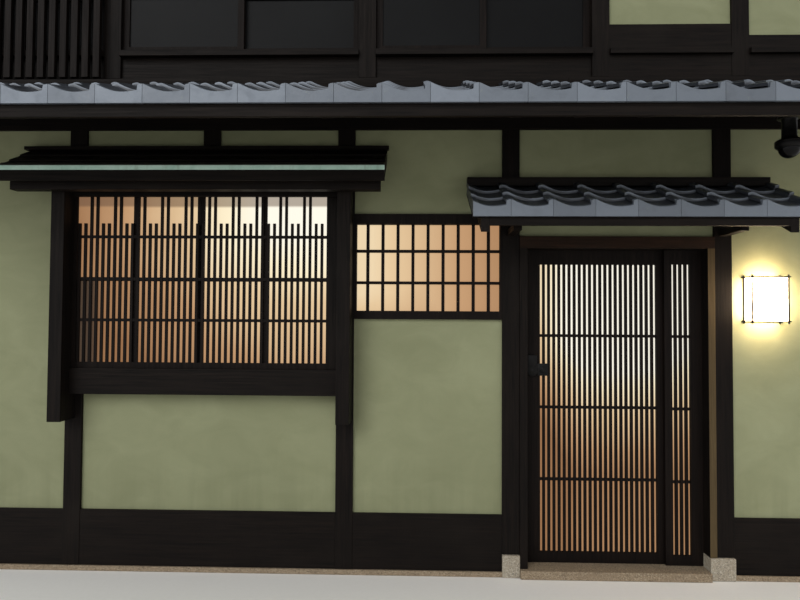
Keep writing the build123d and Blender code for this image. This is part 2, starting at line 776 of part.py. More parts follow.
def door_frame():
    """Jambs and lintel of the entrance, set a little proud of the posts."""
    left = P4 + POST / 2
    right = P5 - POST / 2
    near = -JAMB_PROUD
    solids = [
        piece(FRONT, left, left + JAMB_LEFT_WIDE, near, INNER, STEP_HIGH, LINTEL_UNDER),
        piece(FRONT, JAMB_RIGHT, right, near, INNER, STONE_HIGH, LINTEL_UNDER),
        piece(FRONT, left, right, near, INNER, LINTEL_UNDER, LINTEL_TOP),
    ]
    return fused(solids)


def lattice_panel(x0, x1, near, z0, z1, stiles, bars):
    """A framed panel of close vertical bars threaded by evenly spaced rails."""
    far = near + LEAF_THICK
    left, right = stiles
    lit_low, lit_top = LEAF_LIT_LOW, LEAF_LIT_TOP
    inside = (x0 + left, x1 - right)
    solids = [
        piece(FRONT, x0, inside[0], near, far, z0, z1),
        piece(FRONT, inside[1], x1, near, far, z0, z1),
        piece(FRONT, inside[0], inside[1], near, far, z0, lit_low),
        piece(FRONT, inside[0], inside[1], near, far, lit_top, z1),
    ]
    gap = (inside[1] - inside[0] - bars * BAR_WIDE) / (bars + 1)
    bar_near = near + BAR_SET
    for i in range(bars):
        at = inside[0] + gap + i * (gap + BAR_WIDE)
        solids.append(piece(FRONT, at, at + BAR_WIDE, bar_near, bar_near + BAR_DEEP,
                            lit_low, lit_top))
    rail_near = bar_near + (BAR_DEEP - RAIL_DEEP) / 2
    _, *rails, _ = spread(lit_low, lit_top, LEAF_RAIL_COUNT + 2)
    for z in rails:
        low = z - RAIL_HIGH / 2
        solids.append(piece(FRONT, inside[0], inside[1], rail_near, rail_near + RAIL_DEEP,
                            low, low + RAIL_HIGH))
    return fused(solids)


def lattice_pane(x0, x1, near):
    """The pane behind a lattice panel's bars."""
    glass = near + BAR_SET + BAR_DEEP
    return piece(FRONT, x0, x1, glass, glass + PANE, LEAF_LIT_LOW, LEAF_LIT_TOP)


def entrance():
    """Frame, fixed panel, sliding leaf and lock; returns the fixed panel's pane."""
    save(door_frame(), "door_frame")
    side_near = LEAF_SET - RUN_GAP - LEAF_THICK
    panel = lattice_panel(SIDE_LEFT, JAMB_RIGHT, side_near, STEP_HIGH, LINTEL_UNDER,
                          (SIDE_STILE, SIDE_RIGHT_STILE), SIDE_BAR_COUNT)
    save(panel, "side_panel")
    side_pane = lattice_pane(SIDE_LEFT + SIDE_STILE, JAMB_RIGHT - SIDE_RIGHT_STILE, side_near)
    leaf = lattice_panel(LEAF_LEFT, LEAF_RIGHT, LEAF_SET, LEAF_FOOT, LEAF_TOP,
                         (LEAF_LEFT_STILE, LEAF_RIGHT_STILE), LEAF_BAR_COUNT)
    save(leaf, "door_leaf")
    pane = lattice_pane(LEAF_LEFT + LEAF_LEFT_STILE, LEAF_RIGHT - LEAF_RIGHT_STILE, LEAF_SET)
    save(pane, "door_pane")
    lock = fused([
        piece(FRONT, LOCK_LEFT, LOCK_LEFT + LOCK_WIDE, LEAF_SET - LOCK_PROUD, LEAF_SET,
              LOCK_LOW, LOCK_LOW + LOCK_HIGH),
        piece(FRONT, LOCK_LEFT + LOCK_WIDE, LOCK_LEFT + LOCK_WIDE + KNOB_WIDE,
              LEAF_SET - LOCK_PROUD, LEAF_SET, LOCK_LOW, LOCK_LOW + KNOB_HIGH),
    ])
    save(lock, "door_lock")
    return side_pane


def door_tracks():
    """A floor rail and a grooved head guide, long enough for the leaf's whole travel."""
    right = LEAF_RIGHT + LEAF_TRAVEL + RUN_GAP
    middle = LEAF_SET + LEAF_THICK / 2
    rail = piece(FRONT, LEAF_LEFT, right, middle - TRACK_WIDE / 2, middle + TRACK_WIDE / 2,
                 FLOOR_TOP, FLOOR_TOP + TRACK_HIGH)
    near = LEAF_SET - RUN_GAP - GUIDE_LIP
    far = LEAF_SET + LEAF_THICK + RUN_GAP + GUIDE_LIP
    groove = LEAF_TOP + RUN_GAP
    lip = LEAF_TOP - GUIDE_LAP
    outline = [
        (depth(FRONT, near), LINTEL_TOP),
        (depth(FRONT, near), lip),
        (depth(FRONT, near + GUIDE_LIP), lip),
        (depth(FRONT, near + GUIDE_LIP), groove),
        (depth(FRONT, far - GUIDE_LIP), groove),
        (depth(FRONT, far - GUIDE_LIP), lip),
        (depth(FRONT, far), lip),
        (depth(FRONT, far), LINTEL_TOP),
    ]
    guide = prism_x(outline, LEAF_LEFT - GUIDE_LIP, right)
    save(group([rail, guide]), "door_tracks")


# Porch roof


def porch():
    """The porch roof; returns the timbers that share nodes with those of other roofs."""
    foot = PORCH_TILE_FOOT
    pitch = PORCH_PITCH_RATIO
    tiles = waved_slope(FRONT, -PORCH_OUT, 0, foot, pitch, 0, PORCH_LEFT, PORCH_RIGHT, PORCH_SEAM)
    save(tiles, "porch_tiles")
    near = PORCH_OUT - TILE_NOSE
    deck_foot = foot + pitch * TILE_NOSE
    deck = slope(FRONT, -near, 0, deck_foot, pitch, -PORCH_DECK, 0, PORCH_LEFT, PORCH_RIGHT)
    verge_left = PORCH_LEFT + PORCH_VERGE_IN + PORCH_VERGE_WIDE
    verge_right = PORCH_RIGHT - PORCH_VERGE_IN - PORCH_VERGE_WIDE
    rafters = [
        slope(FRONT, -near, 0, deck_foot, pitch, -PORCH_DECK - PORCH_VERGE_HIGH, -PORCH_DECK,
              left, left + PORCH_VERGE_WIDE)
        for left in (verge_left - PORCH_VERGE_WIDE, verge_right)
    ]
    back = near - PORCH_FASCIA_THICK
    under = deck_foot - PORCH_DECK
    fascia = piece(FRONT, verge_left, verge_right, -near, -back, under - PORCH_FASCIA_HIGH, under)
    rafter_foot = deck_foot + pitch * PORCH_FASCIA_THICK
    low = -PORCH_DECK - PORCH_RAFTER
    step = (verge_right - verge_left) / (PORCH_RAFTER_COUNT + 1)
    for i in range(PORCH_RAFTER_COUNT):
        left = verge_left + (i + 1) * step - PORCH_RAFTER_WIDE / 2
        rafters.append(slope(FRONT, -back, 0, rafter_foot, pitch, low, -PORCH_DECK,
                             left, left + PORCH_RAFTER_WIDE))

    def rafters_under(out):
        return deck_foot + pitch * (near - out) + low

    out = PORCH_PURLIN_OUT
    inner = out - PORCH_PURLIN_WIDE
    arm_top = PORCH_ARM_LOW + PORCH_ARM_HIGH
    outline = [
        (depth(FRONT, -out), arm_top),
        (depth(FRONT, -inner), arm_top),
        (depth(FRONT, -inner), rafters_under(inner)),
        (depth(FRONT, -out), rafters_under(out)),
    ]
    purlin = prism_x(outline, verge_left, verge_right)
    arms = []
    for x in (P4, P5):
        left = x - PORCH_ARM_WIDE / 2
        arms.append(piece(FRONT, left, left + PORCH_ARM_WIDE, -out, 0, PORCH_ARM_LOW, arm_top))
    save(group(arms), "porch_arms")
    return deck, rafters, fascia, purlin


# Lower and main roofs


def rafter_lines():
    """Rafter centres, evenly spaced across the house between the barge boards."""
    reach = END_OUT - RAFTER_WIDE / 2
    return spread(-reach, reach, ceil(2 * reach / RAFTER_STEP) + 1)


def main_rafter_lines(side):
    """Front and rear rafters pass beside each other on the ridge beam."""
    shift = side * (RAFTER_WIDE + RUN_GAP) / 2
    inner = [x for x in rafter_lines() if abs(x) < END_IN]
    return [x + shift for x in inner]


def lower_roof(side):
    edge = ROOF_EDGE
    foot = LOWER_TILE_FOOT
    pitch = LOWER_PITCH_RATIO
    tiles = waved_slope(side, -LOWER_OUT, 0, foot, pitch, 0, -edge, edge, EAVE_SEAM)
    near = LOWER_OUT - TILE_NOSE
    deck_foot = foot + pitch * TILE_NOSE
    deck = slope(side, -near, 0, deck_foot, pitch, -LOWER_DECK, 0, -edge, edge)
    low = -LOWER_DECK - LOWER_RAFTER
    back = near - FASCIA_THICK
    rafter_foot = deck_foot + pitch * FASCIA_THICK
    rafters = [
        slope(side, -back, 0, rafter_foot, pitch, low, -LOWER_DECK,
              x - RAFTER_WIDE / 2, x + RAFTER_WIDE / 2)
        for x in rafter_lines()
    ]
    under = deck_foot - LOWER_DECK
    fascia = piece(side, -edge, edge, -near, -back, under - FASCIA_HIGH, under)
    return tiles, deck, rafters, fascia


def main_roof(side, name):
    edge = ROOF_EDGE
    foot = PLATE_TOP - MAIN_PITCH_RATIO * MAIN_OUT
    ridge = FACE
    low = MAIN_RAFTER
    deck_top = low + MAIN_DECK
    flat = ridge - RIDGE_WIDE / 2 - RIDGE_END_OVER
    flat_foot = foot + MAIN_PITCH_RATIO * (flat + MAIN_OUT)
    save(fused([
        waved_slope(side, -MAIN_OUT, flat, foot, MAIN_PITCH_RATIO, deck_top, -edge, edge, EAVE_SEAM),
        slope(side, flat, ridge, flat_foot, MAIN_PITCH_RATIO, deck_top, deck_top + TILE_HIGH,
              -edge, edge),
    ]), f"{name}_main_tiles")
    near = MAIN_OUT - TILE_NOSE
    deck_foot = foot + MAIN_PITCH_RATIO * TILE_NOSE
    save(slope(side, -near, ridge, deck_foot, MAIN_PITCH_RATIO, low, deck_top, -edge, edge),
         f"{name}_main_deck")
    back = near - FASCIA_THICK
    rafter_foot = deck_foot + MAIN_PITCH_RATIO * FASCIA_THICK
    rafters = [
        slope(side, -back, ridge, rafter_foot, MAIN_PITCH_RATIO, 0, low,
              x - RAFTER_WIDE / 2, x + RAFTER_WIDE / 2)
        for x in main_rafter_lines(side)
    ]
    fascia = piece(side, -edge + BARGE_THICK, edge - BARGE_THICK, -near, -back,
                   deck_foot + low - FASCIA_HIGH - MAIN_DECK, deck_foot + low)
    boards = []
    for hand in (-1, 1):
        x0, x1 = sorted((hand * edge, hand * (edge - BARGE_THICK)))
        boards.append(slope(side, -near, ridge, deck_foot, MAIN_PITCH_RATIO, low - BARGE_HIGH, low,
                            x0, x1))
    save(group(boards), f"{name}_barge_boards")
    return rafters, fascia


def purlins():
    solids = []
    for y in (-FACE / 2, FACE / 2):
        near, far = y - PURLIN / 2, y + PURLIN / 2
        low = roof_under(y) - PURLIN_DEPTH
        outline = [(near, low), (far, low), (far, roof_under(far)), (near, roof_under(near))]
        solids.append(prism_x(outline, -END_IN, END_IN))
    half = PURLIN / 2
    low = roof_under(0) - PURLIN_DEPTH
    outline = [
        (-half, low), (half, low), (half, roof_under(half)),
        (0, roof_under(0)), (-half, roof_under(half)),
    ]
    solids.append(prism_x(outline, -END_IN, END_IN))
    return group(solids)


def ridge_top():
    """Height at which the two tiled slopes meet."""
    return roof_under(0) + MAIN_RAFTER + MAIN_DECK + TILE_HIGH


def ridge():
    """The ridge: stacked courses under a rounded cap, on both tiled slopes."""
    edge = ROOF_EDGE - RIDGE_END_THICK
    top = ridge_top()
    half = RIDGE_WIDE / 2
    drop = MAIN_PITCH_RATIO * half
    cap = top + RIDGE_HIGH
    points = [(-edge, -half, top - drop), (-edge, 0, top), (-edge, half, top - drop),
              (-edge, half, cap), (-edge, RIDGE_CAP, cap)]
    arc = ThreePointArc((-edge, RIDGE_CAP, cap), (-edge, 0, cap + RIDGE_CAP),
                        (-edge, -RIDGE_CAP, cap))
    rest = Polyline([(-edge, -RIDGE_CAP, cap), (-edge, -half, cap), (-edge, -half, top - drop)])
    outline = make_face([Polyline(points), arc, rest])
    return extrude(outline, amount=2 * edge, dir=(1, 0, 0))


def ridge_end(hand):
    """The arched tile that closes one end of the ridge."""
    x = hand * ROOF_EDGE
    half = RIDGE_WIDE / 2 + RIDGE_END_OVER
    foot = ridge_top() - MAIN_PITCH_RATIO * half
    shoulder = ridge_top() + RIDGE_END_SHOULDER
    crown = ridge_top() + RIDGE_HIGH + RIDGE_CAP + RIDGE_END_OVER
    neck = RIDGE_CAP + RIDGE_END_OVER
    sides = Polyline([(x, -neck, crown - neck), (x, -half, shoulder), (x, -half, foot),
                      (x, 0, ridge_top()), (x, half, foot), (x, half, shoulder),
                      (x, neck, crown - neck)])
    arch = ThreePointArc((x, neck, crown - neck), (x, 0, crown), (x, -neck, crown - neck))
    outline = make_face([sides, arch])
    return extrude(outline, amount=RIDGE_END_THICK, dir=(-hand, 0, 0))


def eaves_and_roofs():
    """The lower roofs, porch and hood share nodes for like timbers; then the main roof."""
    hood_rafters, hood_fascia, hood_purlin = hood()
    porch_deck, porch_rafters, porch_fascia, porch_purlin = porch()
    lower_tiles = []
    decks = [porch_deck]
    rafters = [*hood_rafters, *porch_rafters]
    main_rafters = []
    fascias = [hood_fascia, porch_fascia]
    for side, name in ((FRONT, "front"), (REAR, "rear")):
        tiles, deck, low_rafters, low_fascia = lower_roof(side)
        lower_tiles.append(tiles)
        decks.append(deck)
        rafters.extend(low_rafters)
        high_rafters, high_fascia = main_roof(side, name)
        main_rafters.extend(high_rafters)
        fascias.extend([low_fascia, high_fascia])
    save(group(lower_tiles), "lower_tiles")
    save(group(decks), "eave_decks")
    save(group(rafters), "eave_rafters")
    save(group([hood_purlin, porch_purlin]), "eave_purlins")
    save(group(main_rafters), "main_rafters")
    save(group(fascias), "eave_fascias")
    save(purlins(), "roof_purlins")
    save(ridge(), "main_ridge")
    save(group([ridge_end(-1), ridge_end(1)]), "ridge_end_tiles")


# Upper storey walls


def upper_walls(side):
    """Plaster and boarded panels, window timbers, sashes and panes of one upper wall."""
    spans = bays(UPPER_POSTS)
    lattice, window_a, window_b, panel_a, panel_b = spans
    head_top = UPPER_HEAD + UPPER_HEAD_DEPTH
    areas = [
        (panel_a, PANEL_A_LOW), (panel_b, PANEL_B_LOW),
        (lattice, head_top), (window_a, head_top), (window_b, head_top),
    ]
    plaster = [
        piece(side, x0, x1, PLASTER_SET, PLASTER_BACK, z0, PLATE_UNDER)
        for (x0, x1), z0 in areas
    ]
    sill_top = UPPER_SILL + UPPER_SILL_THICK / 2
    sill_low = sill_top - UPPER_SILL_THICK
    timbers = []
    for x0, x1 in (lattice, window_a, window_b):
        boards = piece(side, x0, x1, PLASTER_SET, PLASTER_BACK, WAIST_TOP, sill_low)
        sill = piece(side, x0, x1, -UPPER_SILL_OUT, POST, sill_low, sill_top)
        timbers.append(fused([boards, sill]))
        timbers.append(piece(side, x0, x1, 0, POST, UPPER_HEAD, head_top))
    for (x0, x1), top in ((panel_a, PANEL_A_LOW), (panel_b, PANEL_B_LOW)):
        boards = piece(side, x0, x1, SKIRT_SET, PLASTER_BACK, WAIST_TOP, top)
        ledge = piece(side, x0, x1, -UPPER_SILL_OUT, SKIRT_SET, sill_low, sill_top)
        timbers.append(fused([boards, ledge]))
    frames = []
    panes = []
    for x0, x1 in (lattice, window_a, window_b):
        half = (x0 + x1) / 2
        lap = UPPER_STILE / 2
        near = UPPER_SASH_SET
        pair = ((x0, half + lap, near), (half - lap, x1, near + SASH_THICK + RUN_GAP))
        for left, right, at in pair:
            frames.append(framed(side, left, right, at, SASH_THICK, sill_top, UPPER_HEAD,
                                 UPPER_STILE, (UPPER_MID_RAIL,)))
            glass = at + (SASH_THICK - PANE) / 2
            inner = (left + UPPER_STILE, right - UPPER_STILE)
            levels = (
                (sill_top + UPPER_STILE, UPPER_MID_RAIL - lap),
                (UPPER_MID_RAIL + lap, UPPER_HEAD - UPPER_STILE),
            )
            for z0, z1 in levels:
                panes.append(piece(side, inner[0], inner[1], glass, glass + PANE, z0, z1))
    return plaster, timbers, frames, panes


def upper_lattice():
    """The lattice that stands proud of the upper wall on the left."""
    x0, x1 = bays(UPPER_POSTS)[0]
    near = -UPPER_LATTICE_OUT
    far = near + UPPER_BAR_DEEP
    low = lattice_foot()
    top = UPPER_HEAD + UPPER_HEAD_DEPTH
    count = int((x1 - x0) // UPPER_BAR_STEP) + 1
    solids = []
    for x in spread(x0 + UPPER_BAR / 2, x1 - UPPER_BAR / 2, count):
        solids.append(piece(FRONT, x - UPPER_BAR / 2, x + UPPER_BAR / 2, near, far, low, top))
    for z in (UPPER_SILL, UPPER_MID_RAIL):
        z0 = z - UPPER_SILL_THICK / 2
        solids.append(piece(FRONT, x0, x1, far, -UPPER_SILL_OUT, z0, z0 + UPPER_SILL_THICK))
    solids.append(piece(FRONT, x0, x1, far, 0, UPPER_HEAD, top))
    return solids


def lattice_foot():
    """Height of the lower roof's tiles at the lattice, where its bars stand."""
    return LOWER_TILE_FOOT + LOWER_PITCH_RATIO * LOWER_OUT + TILE_HIGH + RUN_GAP


# Fittings


def lantern():
    x0 = LAMP_LEFT
    x1 = LAMP_LEFT + LAMP_WIDE
    z0 = LAMP_LOW
    z1 = LAMP_LOW + LAMP_HIGH
    wall = PLASTER_SET
    near = wall - LAMP_DEEP
    rod = LAMP_ROD
    bars = []
    for x in (x0, x1 - rod):
        for at in (near, wall - rod):
            bars.append(piece(FRONT, x, x + rod, at, at + rod, z0 - LAMP_EAR, z1 + LAMP_EAR))
    for z in (z0, z1 - rod):
        for at in (near, wall - rod):
            bars.append(piece(FRONT, x0 - LAMP_EAR, x1 + LAMP_EAR, at, at + rod, z, z + rod))
        for x in (x0, x1 - rod):
            bars.append(piece(FRONT, x, x + rod, near, wall, z, z + rod))
    save(fused(bars), "lantern_frame")
    shade = piece(FRONT, x0 + rod, x1 - rod, near + rod, wall, z0 + rod, z1 - rod)
    save(shade, "lantern_shade")


def dome():
    """A dark glass dome that hangs by a stem from the lower roof's rafters."""
    under = (LOWER_TILE_FOOT + LOWER_PITCH_RATIO * (LOWER_OUT - DOME_OUT - DOME_PLATE)
             - LOWER_DECK - LOWER_RAFTER)
    plate = under - DOME_PLATE_THICK
    rim = DOME_LOW + DOME_RADIUS
    outline = [
        (DOME_RADIUS * sin(angle), 0, rim - DOME_RADIUS * cos(angle))
        for angle in spread(0, pi / 2, DOME_RINGS + 1)
    ]
    outline += [
        (DOME_RADIUS, 0, rim + DOME_RIM), (DOME_STEM, 0, rim + DOME_RIM), (DOME_STEM, 0, plate),
        (DOME_PLATE, 0, plate), (DOME_PLATE, 0, under), (0, 0, under), (0, 0, DOME_LOW),
    ]
    turned = revolve(make_face(Polyline(outline)), axis=Axis.Z)
    return Pos(DOME_X, depth(FRONT, -DOME_OUT), 0) * turned


def walls():
    """Both storeys' posts, panels and windows, front and rear."""
    posts = []
    skirts = []
    plaster = front_plaster() + rear_plaster()
    timbers = []
    sashes, panes = bay_sashes()
    panes += [entrance(), window_pane(FRONT), window_pane(REAR)]
    for side in (FRONT, REAR):
        posts += ground_posts(side) + upper_posts(side)
        skirts += skirting(side)
        upper_plaster, upper_timbers, upper_sashes, upper_panes = upper_walls(side)
        plaster += upper_plaster
        timbers += upper_timbers
        sashes += upper_sashes
        panes += upper_panes
    save(group(posts), "wall_posts")
    save(group(skirts), "skirting_boards")
    save(group(plaster), "plaster_panels")
    save(group(timbers), "upper_wall_timbers")
    save(group(sashes), "window_sashes")
    save(group(panes), "window_panes")
    save(group([window_grid(FRONT), window_grid(REAR)]), "window_grids")
    save(fused(upper_lattice()), "upper_lattice")


def bay_window():
    save(group(bay_posts()), "bay_posts")
    save(group([bay_sill(), bay_head()]), "bay_beams")
    save(bay_lattice(), "bay_lattice")


def main():
    os.makedirs("parts", exist_ok=True)
    kerbs()
    floors()
    beams()
    save(group([party_wall(-1), party_wall(1)]), "party_walls")
    walls()
    bay_window()
    door_tracks()
    eaves_and_roofs()
    lantern()
    save(dome(), "eave_dome")


main()
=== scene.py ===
"""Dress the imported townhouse: camera, studio light, materials and the finer pieces.

Lengths are in metres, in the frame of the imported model. The street front looks along -Y. A
depth, called out, is measured outwards from the posts' face on its side of the house.
"""
import math
import random

import bmesh
import bpy
from mathutils import Matrix, Vector


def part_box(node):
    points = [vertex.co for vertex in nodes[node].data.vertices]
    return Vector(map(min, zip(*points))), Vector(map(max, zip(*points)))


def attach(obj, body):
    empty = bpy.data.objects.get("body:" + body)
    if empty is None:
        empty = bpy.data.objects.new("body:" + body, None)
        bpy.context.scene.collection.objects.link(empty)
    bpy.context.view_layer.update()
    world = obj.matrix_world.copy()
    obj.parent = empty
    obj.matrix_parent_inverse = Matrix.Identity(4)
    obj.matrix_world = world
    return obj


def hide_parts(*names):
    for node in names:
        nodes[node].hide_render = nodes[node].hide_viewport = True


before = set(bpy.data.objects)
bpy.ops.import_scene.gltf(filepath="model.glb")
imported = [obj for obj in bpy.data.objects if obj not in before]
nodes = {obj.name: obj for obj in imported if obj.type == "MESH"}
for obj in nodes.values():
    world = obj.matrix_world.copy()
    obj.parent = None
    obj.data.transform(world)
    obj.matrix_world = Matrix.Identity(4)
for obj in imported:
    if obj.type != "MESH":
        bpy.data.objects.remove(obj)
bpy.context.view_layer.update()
rng = random.Random(1872)

# The photograph's camera: lens and sensor in millimetres
LENS = 27.9
SENSOR = 36.0
EYE = Vector((0.1267, -7.7575, 1.543))
YAW, PITCH, ROLL = (math.radians(a) for a in (-1.48, 1.656, -0.327))

X_AXIS, Y_AXIS, Z_AXIS = 0, 1, 2
# The sides of the house, and how far the posts' face is from its middle on both
FRONT, REAR = -1, 1
FACE = 3.9925


def photo_camera():
    """The camera as solved from the photograph."""
    level = math.cos(PITCH)
    forward = Vector((math.sin(YAW) * level, math.cos(YAW) * level, math.sin(PITCH)))
    right = Vector((math.cos(YAW), -math.sin(YAW), 0))
    down = forward.cross(right)
    across = math.cos(ROLL) * right + math.sin(ROLL) * down
    up = -(math.cos(ROLL) * down - math.sin(ROLL) * right)
    data = bpy.data.cameras.new("photo_camera")
    data.sensor_width = SENSOR
    data.lens = LENS
    camera = bpy.data.objects.new("photo_camera", data)
    turn = Matrix((across, up, -forward)).transposed().to_4x4()
    camera.matrix_world = Matrix.Translation(EYE) @ turn
    bpy.context.scene.collection.objects.link(camera)
    bpy.context.scene.camera = camera


photo_camera()
bpy.context.scene.view_settings.view_transform = "Standard"


# Colours and node graphs


def paint(red, green, blue):
    """A linear colour from 8-bit display values, by the sRGB curve."""
    def linear(value):
        value /= 255
        return value / 12.92 if value <= 0.04045 else ((value + 0.055) / 1.055) ** 2.4

    return (linear(red), linear(green), linear(blue), 1.0)


class Shade:
    """One material's node tree; an input takes a number, a colour or another node's output."""

    def __init__(self, name):
        self.material = bpy.data.materials.new(name)
        self.material.use_nodes = True
        self.tree = self.material.node_tree
        self.tree.nodes.clear()
        output = self.add("ShaderNodeOutputMaterial")
        self.shader = self.add("ShaderNodeBsdfPrincipled")
        self.tree.links.new(self.shader.outputs[0], output.inputs[0])
        self.here = self.add("ShaderNodeTexCoord").outputs["Object"]

    def add(self, kind, **settings):
        node = self.tree.nodes.new(kind)
        for key, value in settings.items():
            setattr(node, key, value)
        return node

    def put(self, socket, value):
        if isinstance(value, bpy.types.NodeSocket):
            self.tree.links.new(value, socket)
        else:
            socket.default_value = value

    def surface(self, **inputs):
        """Inputs of the shader, by their names with _ for a space."""
        for key, value in inputs.items():
            self.put(self.shader.inputs[key.replace("_", " ")], value)

    def place(self, scale=(1, 1, 1), shift=(0, 0, 0)):
        """The place on the object, stretched and moved."""
        node = self.add("ShaderNodeMapping")
        self.put(node.inputs["Vector"], self.here)
        node.inputs["Scale"].default_value = scale
        node.inputs["Location"].default_value = shift
        return node.outputs[0]

    def noise(self, vector, scale, detail, rough, distort=0.0):
        node = self.add("ShaderNodeTexNoise")
        self.put(node.inputs["Vector"], vector)
        for key, value in (("Scale", scale), ("Detail", detail), ("Roughness", rough),
                           ("Distortion", distort)):
            node.inputs[key].default_value = value
        return node.outputs[0]

    def cells(self, scale):
        """A random colour for each cell of the surface."""
        node = self.add("ShaderNodeTexVoronoi")
        self.put(node.inputs["Vector"], self.place())
        node.inputs["Scale"].default_value = scale
        return node.outputs["Color"]

    def part(self, axis, vector=None):
        """One coordinate of the place, or of another vector."""
        node = self.add("ShaderNodeSeparateXYZ")
        self.put(node.inputs[0], vector or self.here)
        return node.outputs[axis]

    def math(self, operation, a, b=0.0):
        node = self.add("ShaderNodeMath", operation=operation)
        self.put(node.inputs[0], a)
        self.put(node.inputs[1], b)
        return node.outputs[0]

    def remap(self, value, low, high, to_low=0.0, to_high=1.0):
        """The value from one range to another, held at both ends."""
        node = self.add("ShaderNodeMapRange", clamp=True)
        for socket, given in zip(node.inputs, (value, low, high, to_low, to_high)):
            self.put(socket, given)
        return node.outputs[0]

    def mix(self, share, a, b):
        node = self.add("ShaderNodeMix", data_type="RGBA")
        self.put(node.inputs[0], share)
        self.put(node.inputs[6], a)
        self.put(node.inputs[7], b)
        return node.outputs[2]

    def ramp(self, value, stops):
        node = self.add("ShaderNodeValToRGB")
        self.put(node.inputs[0], value)
        marks = node.color_ramp.elements
        while len(marks) < len(stops):
            marks.new(0.5)
        for mark, (at, colour) in zip(marks, stops):
            mark.position = at
            mark.color = colour
        return node.outputs[0]

    def bump(self, height, depth, strength, onto=None):
        node = self.add("ShaderNodeBump")
        node.inputs["Strength"].default_value = strength
        node.inputs["Distance"].default_value = depth
        self.put(node.inputs["Height"], height)
        if onto is not None:
            self.put(node.inputs["Normal"], onto)
        return node.outputs[0]

    def tone(self):
        """The seeded tone stored on each tile or board."""
        return self.add("ShaderNodeAttribute", attribute_name="tone").outputs["Fac"]


# Wood: waves to the metre across and along the grain
GRAIN_ACROSS, GRAIN_ALONG = 95.0, 3.0
FIGURE_ACROSS, FIGURE_ALONG = 9.0, 0.6


def timber(name, dark, light, along, worn=None, head=None, board=None):
    """Stained wood whose grain runs along one axis, with patches of a worn tone if given.

    A head is a height and two tones: above it the wood has these tones and its grain runs along
    X. A board under the head has tones of its own too: it is given as its left end, the depth
    that it is in front of, and its two tones.
    """
    s = Shade(name)

    def streaks(axis):
        """Fine grain and a broader figure, both drawn out along an axis."""
        fine, broad = [GRAIN_ACROSS] * 3, [FIGURE_ACROSS] * 3
        fine[axis], broad[axis] = GRAIN_ALONG, FIGURE_ALONG
        return (s.noise(s.place(fine), 1.0, 6, 0.65, 0.6),
                s.noise(s.place(broad, (3, 7, 1)), 1.0, 4, 0.55, 1.2))

    grain, figure = streaks(along)
    if head:
        head_low, head_dark, head_light = head
        above = s.math("GREATER_THAN", s.part(Z_AXIS), head_low)
        under = s.math("SUBTRACT", 1.0, above)
        grain, figure = (s.math("ADD", s.math("MULTIPLY", under, a), s.math("MULTIPLY", above, b))
                         for a, b in zip((grain, figure), streaks(X_AXIS)))
        dark, light = s.mix(above, dark, head_dark), s.mix(above, light, head_light)
    share = s.math("MULTIPLY", s.remap(grain, 0.32, 0.72), s.remap(figure, 0.25, 0.8, 0.35, 1.0))
    colour = s.mix(share, dark, light)
    if worn:
        patches = s.remap(s.noise(s.place(), 2.6, 5, 0.6), 0.52, 0.72, 0.0, 0.55)
        colour = s.mix(patches, colour, worn)
    if board:
        left, front, board_dark, board_light = board
        there = s.math("MULTIPLY", s.math("GREATER_THAN", s.part(X_AXIS), left),
                       s.math("LESS_THAN", s.part(Y_AXIS), front))
        colour = s.mix(s.math("MULTIPLY", there, under), colour,
                       s.mix(share, board_dark, board_light))
    height = s.math("ADD", grain, s.math("MULTIPLY", figure, 0.6))
    s.surface(Base_Color=colour, Roughness=s.remap(grain, 0.3, 0.75, 0.66, 0.46),
              Specular_IOR_Level=0.08, Normal=s.bump(height, 0.0012, 0.75))
    return s.material


# Damp at the foot of the plaster: it fades out between these heights
STAIN_LOW, STAIN_HIGH = 0.36, 0.75


def plaster(name, base, deep, pale):
    """Fine earth plaster: sand grain, soft trowel mottling and faint stains at its foot."""
    s = Shade(name)
    sand = s.noise(s.place(), 420.0, 3, 0.75)
    trowel = s.noise(s.place((1, 1, 1.6)), 3.4, 5, 0.6, 0.8)
    clouds = s.noise(s.place(shift=(5, 2, 9)), 0.9, 4, 0.5)
    runs = s.noise(s.place((14, 14, 0.7)), 1.0, 4, 0.6)
    foot = s.remap(s.part(Z_AXIS), STAIN_LOW, STAIN_HIGH, 1.0, 0.0)
    stain = s.math("MULTIPLY", foot, s.remap(runs, 0.4, 0.75, 0.1, 0.6))
    colour = s.mix(s.remap(trowel, 0.3, 0.72), base, pale)
    for share in (s.remap(clouds, 0.42, 0.75, 0.0, 0.45), s.remap(sand, 0.35, 0.7, 0.0, 0.22),
                  stain):
        colour = s.mix(share, colour, deep)
    s.surface(Base_Color=colour, Roughness=s.remap(sand, 0.3, 0.7, 0.96, 0.82),
              Normal=s.bump(trowel, 0.004, 0.35, s.bump(sand, 0.0016, 0.6)))
    return s.material


def roof_tile(name, soot_and_shade, dark, mid, light):
    """Smoked clay tile: silver sheen, a tone of its own for each tile, sooty stains and lichen;
    high tones paint a highlight on noses and eave fronts, and low tones paint shade on the tiles'
    backs.
    """
    s = Shade(name)
    smoke = s.noise(s.place(), 14.0, 5, 0.6, 0.4)
    grit = s.noise(s.place(), 260.0, 3, 0.7)
    lichen = s.noise(s.place(shift=(2, 4, 3)), 33.0, 6, 0.7)
    shade = s.math("ADD", s.math("MULTIPLY", s.tone(), 0.7), s.math("MULTIPLY", smoke, 0.3))
    # the darkest stops paint shade on the tiles' backs, besides sooty stains
    colour = s.ramp(shade, ((0.10, soot_and_shade), (0.42, dark), (0.66, mid), (0.95, light)))
    colour = s.mix(s.remap(lichen, 0.62, 0.74, 0.0, 0.5), colour, paint(126, 132, 118))
    colour = s.mix(s.remap(smoke, 0.5, 0.8, 0.0, 0.35), colour, dark)
    s.surface(Base_Color=colour, Metallic=0.25, Roughness=s.remap(smoke, 0.3, 0.75, 0.36, 0.58),
              Normal=s.bump(grit, 0.0008, 0.6, s.bump(smoke, 0.003, 0.4)))
    return s.material


